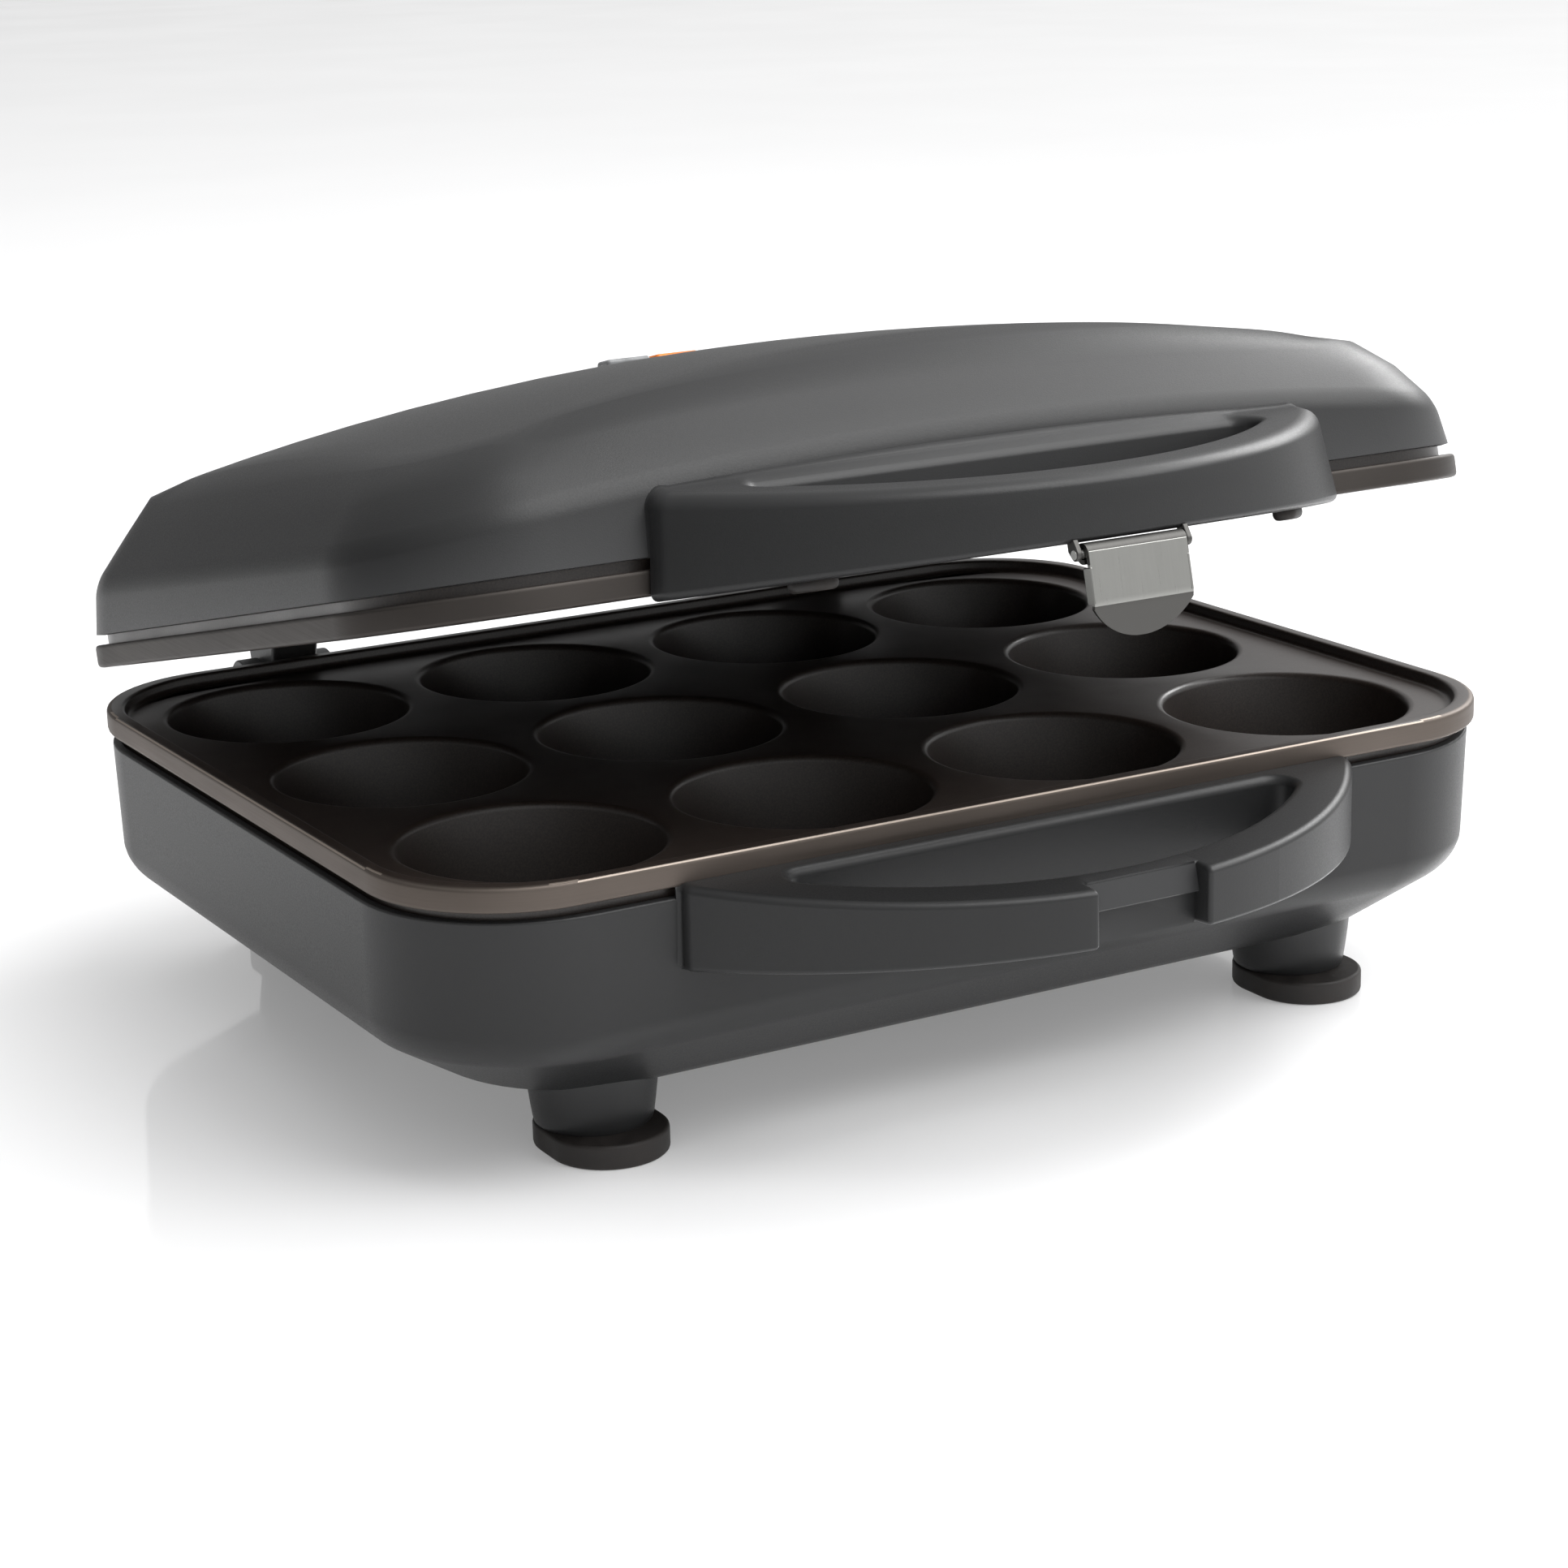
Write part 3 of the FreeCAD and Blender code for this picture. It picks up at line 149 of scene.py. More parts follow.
def charcoal_plastic():
    """Satin moulded plastic with a fine spark-eroded grain, a little lighter where edges are rubbed."""
    deep = (0.015, 0.0152, 0.0156)
    rubbed = (0.040, 0.0405, 0.0415)
    material = new_finish("satin_charcoal_plastic", IOR=1.38)
    cloud = speckle(material, scale=9, detail=4)
    grain = speckle(material, scale=2400, detail=2)
    edges = node(material, "NewGeometry")
    wear = spread(material, edges.outputs["Pointiness"], 0.0, 1.0, start=0.51, end=0.62)
    marks = node(material, "Math", operation="MULTIPLY_ADD")
    wire(material, cloud, marks, 0)
    marks.inputs[1].default_value = 0.3
    wire(material, wear, marks, 2)
    colour = tint(material, marks.outputs["Value"], deep, rubbed, start=0.05, end=1.0)
    surface(material, colour, spread(material, grain, 0.34, 0.46))
    raise_grain(material, grain, height=0.00012, strength=0.2)
    return material


CHARCOAL = charcoal_plastic()


def only(kind, items):
    """The vertices, edges or faces out of a mixed list."""
    return [item for item in items if isinstance(item, kind)]


def rounded_sheet(bm, width, depth, corner, z):
    """One flat face with round corners about the plate's middle."""
    made = bmesh.ops.create_grid(bm, x_segments=1, y_segments=1, size=0.5)["verts"]
    bmesh.ops.scale(bm, vec=(width, depth, 1), verts=made)
    bmesh.ops.translate(bm, vec=(0, 0, z), verts=made)
    bmesh.ops.bevel(bm, geom=made, offset=corner, segments=16, profile=0.5, affect="VERTICES", material=-1)
    bm.faces.ensure_lookup_table()
    return bm.faces[-1]


def drawn(bm, face, width, depth, z, keep=False):
    """Draw a flat face out to another level and size, as one step of a moulding."""
    across = max(v.co.x for v in face.verts) - min(v.co.x for v in face.verts)
    along = max(v.co.y for v in face.verts) - min(v.co.y for v in face.verts)
    fresh = only(BMFace, bmesh.ops.extrude_face_region(bm, geom=[face])["geom"])[0]
    bmesh.ops.scale(bm, vec=(width / across, depth / along, 1), verts=fresh.verts)
    bmesh.ops.translate(bm, vec=(0, 0, z - fresh.verts[0].co.z), verts=fresh.verts)
    if not keep:
        bmesh.ops.delete(bm, geom=[face], context="FACES_ONLY")
    return fresh


def level_edges(bm, z):
    """Edges that lie at one level."""
    return [edge for edge in bm.edges if all(abs(v.co.z - z) < 0.01 for v in edge.verts)]


def round_off(bm, edges, radius, steps, clamp=True):
    bmesh.ops.bevel(bm, geom=edges, offset=radius, segments=steps, profile=0.5, affect="EDGES", material=-1,
                    clamp_overlap=clamp)


def settle(bm, name, body, finishes, nodes=(), crease=38):
    """Bring a piece from millimetres about the plate to its place, open it with the lid, hand it over."""
    bmesh.ops.remove_doubles(bm, verts=bm.verts, dist=0.002)
    bmesh.ops.recalc_face_normals(bm, faces=bm.faces)
    bmesh.ops.scale(bm, vec=(0.001, 0.001, 0.001), verts=bm.verts)
    bmesh.ops.translate(bm, vec=(0, MIDDLE, 0), verts=bm.verts)
    if body != "base":
        bmesh.ops.rotate(bm, cent=HINGE, matrix=Matrix.Rotation(-AJAR, 3, "X"), verts=bm.verts)
    mesh = bpy.data.meshes.new(name)
    bm.to_mesh(mesh)
    bm.free()
    mesh.shade_smooth()
    mesh.set_sharp_from_angle(angle=math.radians(crease))
    for finish in finishes:
        mesh.materials.append(finish)
    piece = bpy.data.objects.new(name, mesh)
    bpy.context.scene.collection.objects.link(piece)
    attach(piece, body)
    if nodes:
        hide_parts(*nodes)
    return piece


def even_shading(piece):
    """Flat walls stay flat beside their rounded edges."""
    made = piece.modifiers.new("even_shading", "WEIGHTED_NORMAL")
    made.keep_sharp = True


def inside_by(x, y):
    """How far a point of the plan lies inside the outline."""
    u = abs(x) - WIDTH / 2 + CORNER
    v = abs(y) - DEPTH / 2 + CORNER
    if u > 0 and v > 0:
        return CORNER - math.hypot(u, v)
    return CORNER - max(u, v)


shell = bmesh.new()
belly = rounded_sheet(shell, WIDTH - 2 * BELLY_INSET_X, DEPTH - 2 * BELLY_INSET_Y, BELLY_CORNER, BELLY)
knee = drawn(shell, belly, WIDTH - 2 * KNEE_INSET, DEPTH - 2 * KNEE_INSET, KNEE, keep=True)
top = drawn(shell, knee, WIDTH, DEPTH, SHELL_TOP)
bmesh.ops.inset_region(shell, faces=[top], thickness=WALL, use_even_offset=True)
inner_levels = ((KNEE_INSET, KNEE_INSET, INNER_KNEE), (BELLY_INSET_X, BELLY_INSET_Y, BELLY + WALL))
for inset_x, inset_y, z in inner_levels:
    top = drawn(shell, top, WIDTH - 2 * (inset_x + WALL), DEPTH - 2 * (inset_y + WALL), z)
round_off(shell, level_edges(shell, KNEE), KNEE_ROUND, 8)
round_off(shell, level_edges(shell, BELLY), BELLY_ROUND, 8)
lip = [edge for edge in level_edges(shell, SHELL_TOP) if inside_by(*edge.verts[0].co.xy) < 1]
round_off(shell, lip, SHELL_LIP, 3)
even_shading(settle(shell, "lower_shell", "base", [CHARCOAL], ["lower_housing"]))


# Lower handle: a flat D-shaped bar moulded in one with the housing, with soft roots and a finger gap behind
# it. The bar thins a little towards the front, where a notch takes the latch.
BAR_FRONT = -196
BAR_WIDTH = 15
BAR_REACH = 60
BAR_HEIGHT = 24
BAR_UNDER = SHELL_TOP - 20.2
BAR_UNDER_RISE = 4.7
BAR_OVER = SHELL_TOP + 3.8
BAR_OVER_FALL = 3.2
BAR_SUNK = 0.6
TIP = 5
STRIP = 5
NOTCH = 17.5
NOTCH_BACK = BAR_FRONT + 8
NOTCH_ROUND = 1.4
DRAFT = KNEE_INSET / (SHELL_TOP - KNEE)


def arc(bm, vert, centre, degrees, steps):
    """Carry a line on from a vertex, round an upright axis."""
    made = bmesh.ops.spin(bm, geom=[vert], cent=(*centre, vert.co.z), axis=(0, 0, 1),
                          angle=math.radians(degrees), steps=steps)
    return only(BMVert, made["geom_last"])[0]


def straight(bm, vert, move):
    """Carry a line on from a vertex in a straight run."""
    fresh = bmesh.ops.extrude_vert_indiv(bm, verts=[vert])["verts"][0]
    bmesh.ops.translate(bm, vec=(*move, 0), verts=[fresh])
    return fresh


def saw(bm, point, normal):
    """Cut all faces along a plane, and leave both sides standing."""
    bmesh.ops.bisect_plane(bm, geom=bm.verts[:] + bm.edges[:] + bm.faces[:], plane_co=point, plane_no=normal)


def rounded_side(height, under, over, steps=6):
    """Steps in and heights of a bar's side, rounded from the underside up and again up to the top."""
    quarter = [math.pi / 2 * step / steps for step in range(steps + 1)]
    return ([(under * (1 - math.sin(angle)), under * (1 - math.cos(angle))) for angle in quarter]
            + [(over * (1 - math.cos(angle)), height - over * (1 - math.sin(angle))) for angle in quarter])


def handle_bar(bm, root_x, root, corner, height, outer, inner):
    """D-shaped bar of even height: outlines of arcs, stepped in at the roundings, bridged level by level."""
    tail = 14
    end_x = root_x - root - corner
    end_y = FRONT - root
    reach = -BAR_FRONT - corner
    bow_y = (end_x ** 2 + end_y ** 2 - reach ** 2) / (2 * (reach + end_y))
    turn = math.degrees(math.atan2(end_x, bow_y - end_y))
    gap_y = FRONT - STRIP
    tip_x = math.sqrt((bow_y - BAR_FRONT - BAR_WIDTH - TIP) ** 2 - (gap_y - TIP - bow_y) ** 2)
    tip_turn = math.degrees(math.atan2(tip_x, bow_y - gap_y + TIP))

    def outline(start, moves):
        count = len(bm.edges)
        first = end = bm.verts.new(start)
        for step, *values in moves:
            end = step(bm, end, *values)
        bmesh.ops.contextual_create(bm, geom=[end, first])
        bm.edges.ensure_lookup_table()
        long_runs = [edge for edge in bm.edges[count:] if edge.calc_length() > 60]
        bmesh.ops.subdivide_edges(bm, edges=long_runs, cuts=30)
        bm.edges.ensure_lookup_table()
        return bm.edges[count:]

    outside = [outline((-root_x, FRONT + tail, z), [
        (straight, (0, step - tail)), (arc, (-root_x, end_y), -90, 8), (arc, (-end_x, end_y), 90 - turn, 8),
        (arc, (0, bow_y), 2 * turn, 60), (arc, (end_x, end_y), 90 - turn, 8), (arc, (root_x, end_y), -90, 8),
        (straight, (0, tail - step))]) for step, z in rounded_side(height, *outer)]
    inside = [outline((-tip_x, gap_y + step, z), [
        (arc, (-tip_x, gap_y - TIP), 180 - tip_turn, 8), (arc, (0, bow_y), 2 * tip_turn, 60),
        (arc, (tip_x, gap_y - TIP), 180 - tip_turn, 8)]) for step, z in rounded_side(height, *inner)]
    for loops in (outside, inside):
        for low, high in zip(loops, loops[1:]):
            bmesh.ops.bridge_loops(bm, edges=low + high)
    for level in (0, -1):
        bmesh.ops.triangle_fill(bm, use_beauty=True, edges=outside[level] + inside[level])
    bmesh.ops.recalc_face_normals(bm, faces=bm.faces)


def slope(bm, height, under, over):
    """Give an even bar its sloping top and underside; the levels follow how far in front a point is."""
    for vert in bm.verts:
        ahead = max(0.0, FRONT - vert.co.y)
        low = under(ahead)
        vert.co.z = low + vert.co.z / height * (over(ahead, vert.co.x) - low)


def cut_away(bm, planes, gone):
    """Saw along planes, take out the piece between them, and close the cut faces one after the other."""
    for plane in planes:
        saw(bm, *plane)
    waste = [face for face in bm.faces if gone(face.calc_center_median())]
    bmesh.ops.delete(bm, geom=waste, context="FACES")
    for point, normal in planes:
        rim = [edge for edge in bm.edges if edge.is_boundary
               and all(abs((vert.co - Vector(point)).dot(Vector(normal))) < 0.001 for vert in edge.verts)]
        bmesh.ops.contextual_create(bm, geom=rim)


def trim(bm, y):
    """Take off the stock left behind a bar's roots."""
    cut_away(bm, [((0, y, 0), (0, 1, 0))], lambda place: place.y > y)


def lower_bar_foot(ahead):
    return BAR_UNDER + ahead * BAR_UNDER_RISE / BAR_REACH


def lower_bar_top(ahead, x):
    return BAR_OVER - ahead * BAR_OVER_FALL / BAR_REACH


def cheek_edge(edge):
    """Whether an edge is a sharp one of the notch's two cheeks, in front of its back."""
    on_cheek = all(abs(abs(v.co.x) - NOTCH) < 0.01 and v.co.y < NOTCH_BACK + 0.01 for v in edge.verts)
    in_front = any(v.co.y < NOTCH_BACK - 0.01 for v in edge.verts)
    return on_cheek and in_front and edge.calc_face_angle(0) > 0.5


bar = bmesh.new()
handle_bar(bar, root_x=110.6, root=1.2, corner=5.2, height=BAR_HEIGHT, outer=(1.8, 2.4), inner=(1.8, 2.8))
trim(bar, FRONT + BAR_SUNK)
slope(bar, BAR_HEIGHT, lower_bar_foot, lower_bar_top)
for vert in bar.verts:
    if vert.co.y > FRONT - 1 and vert.co.z < SHELL_TOP:
        vert.co.y += DRAFT * (SHELL_TOP - vert.co.z)
cut_away(bar, [((NOTCH, 0, 0), (1, 0, 0)), ((-NOTCH, 0, 0), (1, 0, 0)), ((0, NOTCH_BACK, 0), (0, 1, 0))],
         lambda place: abs(place.x) < NOTCH and place.y < NOTCH_BACK)
bmesh.ops.recalc_face_normals(bar, faces=bar.faces)
round_off(bar, [edge for edge in bar.edges if cheek_edge(edge)], NOTCH_ROUND, 4, clamp=False)
even_shading(settle(bar, "lower_handle", "base", [CHARCOAL]))


# Latch catch: a ledge right across the back of the notch, moulded with the handle in the same plastic. Its
# face slants forward to a nose, and the latch's hook holds under it.
CATCH_TOP = SHELL_TOP + 0.4
CATCH_NOSE = RIM - 16.4
CATCH_ROOT = NOTCH_BACK + 0.6
catch = bmesh.new()
side_view = [(CATCH_ROOT, CATCH_TOP), (NOTCH_BACK - 0.1, CATCH_TOP), (NOTCH_BACK - 1.9, CATCH_NOSE),
             (NOTCH_BACK - 1.6, CATCH_NOSE - 0.4), (CATCH_ROOT, CATCH_NOSE - 0.8)]
face = catch.faces.new([catch.verts.new((-NOTCH, y, z)) for y, z in side_view])
made = bmesh.ops.extrude_face_region(catch, geom=[face])["geom"]
bmesh.ops.translate(catch, vec=(2 * NOTCH, 0, 0), verts=only(BMVert, made))
even_shading(settle(catch, "latch_catch", "base", [CHARCOAL]))


# Hinge lugs: four flat ears behind the lower housing, moulded with it in the same plastic. They stand in two
# pairs, and each pair holds a steel hinge pin.
KNUCKLE_Y = HINGE.y * 1000 - MIDDLE * 1000
KNUCKLE_Z = HINGE.z * 1000
EYE = 8
LUG_WIDTH = 7
LUG_ROOT = DEPTH / 2 - 2
LUG_SHOULDER = DEPTH / 2 + 3
LUG_FOOT = KNEE + 15
LUG_TOP = SHELL_TOP - 0.8
LUG_ROUND = 0.6


def disc(bm, centre, radius, height, segments, lying=False):
    """Plain round disc, about an upright axis or about one that lies across the front."""
    turn = Matrix.Rotation(math.pi / 2, 4, "Y") if lying else Matrix()
    return bmesh.ops.create_cone(bm, cap_ends=True, segments=segments, radius1=radius, radius2=radius,
                                 depth=height, matrix=Matrix.Translation(centre) @ turn)["verts"]


def hull_of(bm, points):
    """Skin stretched over points, without those left inside it."""
    made = bmesh.ops.convex_hull(bm, input=points)
    spare = set(only(BMVert, made["geom_interior"] + made["geom_unused"]))
    bmesh.ops.delete(bm, geom=list(spare), context="VERTS")


def hinge_ear(bm, x, width, corners):
    """Round eye about the hinge drawn out to a root, as the hull of both."""
    points = disc(bm, (x, KNUCKLE_Y, KNUCKLE_Z), EYE, width, 40, lying=True)
    for y, z in corners:
        for side in (-0.5, 0.5):
            points.append(bm.verts.new((x + side * width, y, z)))
    hull_of(bm, points)


def clean_hull(bm, radius, sharp=0.8):
    """Join the hull's triangles into flat faces and round its sharp edges a little."""
    bmesh.ops.dissolve_limit(bm, angle_limit=math.radians(2), verts=bm.verts, edges=bm.edges)
    bmesh.ops.recalc_face_normals(bm, faces=bm.faces)
    round_off(bm, [edge for edge in bm.edges if edge.calc_face_angle(0) > sharp], radius, 3)


for number, x in enumerate((-112, -88, 88, 112), 1):
    ear = bmesh.new()
    hinge_ear(ear, x, LUG_WIDTH, [(LUG_ROOT, LUG_FOOT), (LUG_ROOT, LUG_TOP), (LUG_SHOULDER, LUG_TOP)])
    clean_hull(ear, LUG_ROUND)
    even_shading(settle(ear, f"hinge_lug_{number}", "base", [CHARCOAL]))


# Feet: four short tapered legs moulded under the belly, each standing on an oblong rubber pad that reaches
# outwards to the front or the rear.
FOOT_X = 118.8
FOOT_Y = 98.9
LEG = [(0, 6.5), (15.8, 6.5), (16.4, 7.1), (16.7, 8.5), (17.2, 12), (18, 18.5), (18.5, 25), (0, 25)]
PAD = 16.8
PAD_REACH = 8.4
PAD_HEIGHT = 7
PAD_ROUND = 1.1
ENDS = (("front", -1), ("rear", 1))
SIDES = (("left", -1), ("right", 1))


def soft_rubber():
    """Matt brown-black rubber with a dusty bloom."""
    material = new_finish("foot_rubber", IOR=1.45)
    bloom = speckle(material, scale=140, detail=5)
    surface(material, tint(material, bloom, (0.012, 0.010, 0.009), (0.024, 0.020, 0.018)),
            spread(material, bloom, 0.5, 0.68))
    raise_grain(material, speckle(material, scale=1500, detail=3), height=0.0001, strength=0.25)
    return material


RUBBER = soft_rubber()


def chain(bm, verts):
    """Join vertices with edges, one after the other."""
    for near, far in zip(verts, verts[1:]):
        bmesh.ops.contextual_create(bm, geom=[near, far])


def turned(bm, profile, x, y, steps):
    """Spin a half profile of (radius, height) points once round an upright axis."""
    verts = [bm.verts.new((x + radius, y, z)) for radius, z in profile]
    chain(bm, verts)
    edges = [edge for edge in bm.edges if edge.verts[0] in verts and edge.verts[1] in verts]
    bmesh.ops.spin(bm, geom=verts + edges, cent=(x, y, 0), axis=(0, 0, 1), angle=2 * math.pi, steps=steps,
                   use_merge=True)


for end, y in ENDS:
    for side, x in SIDES:
        corner = f"{end}_{side}"
        leg = bmesh.new()
        turned(leg, LEG, x * FOOT_X, y * FOOT_Y, 48)
        even_shading(settle(leg, f"leg_{corner}", "base", [CHARCOAL], [f"foot_leg_{corner}"]))
        pad = bmesh.new()
        for shift in (0, y * PAD_REACH):
            disc(pad, (x * FOOT_X, y * FOOT_Y + shift, PAD_HEIGHT / 2), PAD, PAD_HEIGHT, 64)
        hull_of(pad, pad.verts[:])
        clean_hull(pad, PAD_ROUND)
        even_shading(settle(pad, f"pad_{corner}", "base", [RUBBER], [f"foot_pad_{corner}"]))


# Cord inlet: a rubber bush pressed into the rear wall of the lower housing, with a flange outside and a
# short bore through it.
INLET_X = -58
INLET_Z = 56
BUSH = [(4, -7), (6, -7), (6, 0.1), (8.2, 0.1), (9, 0.7), (9, 1.8), (8.4, 2.5), (5, 2.5), (4, 1.8), (4, -7)]
bush = bmesh.new()
turned(bush, BUSH, 0, 0, 40)
bmesh.ops.rotate(bush, cent=(0, 0, 0), matrix=Matrix.Rotation(-math.pi / 2, 3, "X"), verts=bush.verts)
bmesh.ops.translate(bush, vec=(INLET_X, DEPTH / 2, INLET_Z), verts=bush.verts)
even_shading(settle(bush, "cord_bush", "base", [RUBBER], ["cord_inlet"]))


# Lower baking plate: an aluminium casting with a raised lip and twelve deep cups, set on the housing's edge.
# A dark brown non-stick coat covers the top; the outer band of the rim is left a satin bronze grey.
# Its rounded top edge carries a painted highlight line in a much lighter bronze.
COLUMNS = 4
ROWS = 3
PITCH = 84.8
CUP = 36.7
PLATE_TOP = RIM - 3.7
WEB = 3.2
WEB_INSET = 7.4
LIP_INSET = 6.4
LIP_AND_NECK = [(5.6, -3.5), (5.1, -3.0), (4.9, -2.3), (4.7, -0.9), (4.5, -0.4), (4.1, -0.1), (3.6, 0),
                (1.3, 0), (0.6, -0.2), (0.2, -0.6), (0, -1.3), (0, -5.8), (0.15, -6.5), (0.5, -6.9),
                (1.0, -7), (3.5, -7), (3.5, -12.8), (6.5, -12.8), (6.5, -6.9)]
BAND = 0.7
# Rim faces on the rounded top edge, past this inset, get the lighter bronze of the painted highlight.
RIM_HIGHLIGHT_INSET = 0.2


def non_stick_coat():
    """Dark brown baked coat: fine orange peel, faint speckle and hazy patches in the gloss."""
    material = new_finish("non_stick_coat", IOR=1.5, Coat_Weight=0.25, Coat_Roughness=0.22)
    flecks = speckle(material, scale=1900, detail=2)
    haze = speckle(material, scale=22, detail=4)
    colour = tint(material, flecks, (0.018, 0.013, 0.011), (0.038, 0.028, 0.023), start=0.35, end=0.75)
    surface(material, colour, spread(material, haze, 0.34, 0.48))
    raise_grain(material, speckle(material, scale=900, detail=2), height=0.00008, strength=0.2)
    return material


def rim_bronze(name, low, high):
    """Satin bronze-grey metal of the rim, a little cloudy, with its sheen drawn out in fine lines."""
    material = new_finish(name, Metallic=0.85)
    lines = speckle(material, scale=700, detail=3, stretch=(0.05, 0.05, 3))
    cloud = speckle(material, scale=14, detail=3)
    surface(material, tint(material, cloud, low, high), spread(material, lines, 0.48, 0.54))
    return material


COAT = non_stick_coat()
BRONZE = rim_bronze("satin_bronze_rim", (0.098, 0.082, 0.071), (0.14, 0.117, 0.102))
# Much lighter copy of the rim bronze: a painted highlight line along the rim's rounded top edge.
RIM_HIGHLIGHT = rim_bronze("painted_rim_highlight", (0.32, 0.27, 0.23), (0.42, 0.36, 0.31))


def carried(bm, edges, move, scale=(1, 1, 1)):
    """Carry an open edge line on by one step, and scale its new end."""
    made = bmesh.ops.extrude_edge_only(bm, edges=edges)["geom"]
    fresh = only(BMVert, made)
    bmesh.ops.translate(bm, vec=move, verts=fresh)
    bmesh.ops.scale(bm, vec=scale, verts=fresh)
    return [edge for edge in only(BMEdge, made) if all(vert in fresh for vert in edge.verts)]


def cup_field(cup, around=72):
    """Twelve hollows of one half profile in a flat web, whose corners keep clear of the rim."""
    bm = bmesh.new()
    level = cup[0][1]
    square = bmesh.ops.create_grid(bm, x_segments=1, y_segments=1, size=PITCH / 2)["verts"]
    bmesh.ops.translate(bm, vec=(0, 0, level), verts=square)
    bmesh.ops.delete(bm, geom=bm.faces[:], context="FACES_ONLY")
    bmesh.ops.subdivide_edges(bm, edges=bm.edges[:], cuts=around // 4 - 1)
    outline = bm.edges[:]
    turned(bm, cup, 0, 0, around)
    bmesh.ops.remove_doubles(bm, verts=bm.verts, dist=0.001)
    mouth = [edge for edge in level_edges(bm, level) if edge.is_boundary]
    bmesh.ops.bridge_loops(bm, edges=outline + mouth)
    cell = bm.verts[:] + bm.edges[:] + bm.faces[:]
    bmesh.ops.translate(bm, vec=(-(COLUMNS - 1) / 2 * PITCH, -(ROWS - 1) / 2 * PITCH, 0), verts=bm.verts)
    for column in range(COLUMNS):
        for row in range(ROWS):
            if column or row:
                copy = bmesh.ops.duplicate(bm, geom=cell)["geom"]
                bmesh.ops.translate(bm, vec=(column * PITCH, row * PITCH, 0), verts=only(BMVert, copy))
    bmesh.ops.remove_doubles(bm, verts=bm.verts, dist=0.01)
    for vert in bm.verts:
        if vert.is_boundary and inside_by(*vert.co.xy) < WEB_INSET:
            middle = Vector((math.copysign(WIDTH / 2 - CORNER, vert.co.x),
                             math.copysign(DEPTH / 2 - CORNER, vert.co.y), level))
            vert.co = middle + (vert.co - middle).normalized() * (CORNER - WEB_INSET)
    return bm


def baking_plate(cup, under):
    """Plate seen from its baking side: hollows, web, rim with its lip, neck, and the same from behind."""
    bm = cup_field(cup)
    inner = [edge for edge in bm.edges if edge.is_boundary]
    inset = LIP_INSET
    face = rounded_sheet(bm, WIDTH - 2 * inset, DEPTH - 2 * inset, CORNER - inset, PLATE_TOP)
    ring = face.edges[:]
    bmesh.ops.delete(bm, geom=[face], context="FACES_ONLY")
    bmesh.ops.bridge_loops(bm, edges=inner + ring)
    for step, depth in LIP_AND_NECK:
        rise = RIM + depth - ring[0].verts[0].co.z
        ring = carried(bm, ring, (0, 0, rise), ((WIDTH - 2 * step) / (WIDTH - 2 * inset),
                                                (DEPTH - 2 * step) / (DEPTH - 2 * inset), 1))
        inset = step
    behind = cup_field(under)
    mesh = bpy.data.meshes.new("web_behind")
    behind.to_mesh(mesh)
    behind.free()
    count = len(bm.edges)
    bm.from_mesh(mesh)
    bpy.data.meshes.remove(mesh)
    bm.edges.ensure_lookup_table()
    bmesh.ops.bridge_loops(bm, edges=ring + [edge for edge in bm.edges[count:] if edge.is_boundary])
    bmesh.ops.remove_doubles(bm, verts=bm.verts, dist=0.01)
    for face in bm.faces:
        middle = face.calc_center_median()
        depth = inside_by(*middle.xy)
        # Outer band faces take the bronze; those on its rounded top edge take the painted highlight.
        if depth < BAND:
            face.material_index = 2 if depth > RIM_HIGHLIGHT_INSET and middle.z > RIM - 1 else 1
    return bm


def below(points):
    """Profile points given by their depth under the web's surface."""
    return [(radius, PLATE_TOP - depth) for radius, depth in points]


deep_cup = below([(CUP + 2.2, 0), (CUP + 1.0, 0.25), (CUP + 0.25, 0.9), (CUP - 0.1, 2), (31.4, 26.8),
                  (30.6, 29.1), (29.2, 30.7), (27.2, 31.7), (24.5, 32), (0, 32)])
cup_behind = below([(CUP + 2.4, WEB), (CUP + 1.6, WEB + 0.8), (33.4, 27.5), (32.4, 30.5), (30.6, 32.6),
                    (28, 33.7), (25, 34), (0, 34)])
plate = baking_plate(deep_cup, cup_behind)
even_shading(settle(plate, "lower_plate", "base", [COAT, BRONZE, RIM_HIGHLIGHT], ["lower_baking_plate"]))


# Lid housing: the arched charcoal cover, one moulding with an even wall. It has a low upright skirt, a
# sloping facet all round that rises to the front middle, and a gently domed roof that meets the facet in a
# soft crease.
LID_TOP = RIM + 71.5
SKIRT = RIM + 10.8
FACET_FOOT = RIM + 34.5
FACET_INSET = 1.8
FACET_PITCH = 1.08
FACET_ROUND = 4
FACET_HALF = 174
FACET_FRONT = -112
FACET_RUN = 225
FACET_RINGS = 26
RING = 1.65
SIDE_FALL = 11.5
REAR_RISE = 3.6
DOME_ACROSS = 1250
DOME_ALONG = 2722
DOME_CREST = 55
DOME_RINGS = (0.95, 0.9, 0.84, 0.77, 0.69, 0.6, 0.5, 0.4, 0.3, 0.2, 0.1, 0.03)
CREASE = 2.4


def facet_foot(x, y):
    """Level of the edge between skirt and facet, lower at the sides and higher at the rear."""
    return FACET_FOOT - SIDE_FALL * (x / FACET_HALF) ** 2 + REAR_RISE * (y - FACET_FRONT) / FACET_RUN


def roof(x, y):
    """Level of the roof: the lower of facet and dome, run softly into each other."""
    facet = facet_foot(x, y) + FACET_PITCH * (inside_by(x, y) - FACET_INSET)
    dome = LID_TOP - x * x / DOME_ACROSS - (y - DOME_CREST) ** 2 / DOME_ALONG
    share = min(1.0, max(0.0, 0.5 + 0.5 * (dome - facet) / CREASE))
    return dome + (facet - dome) * share - CREASE * share * (1 - share)


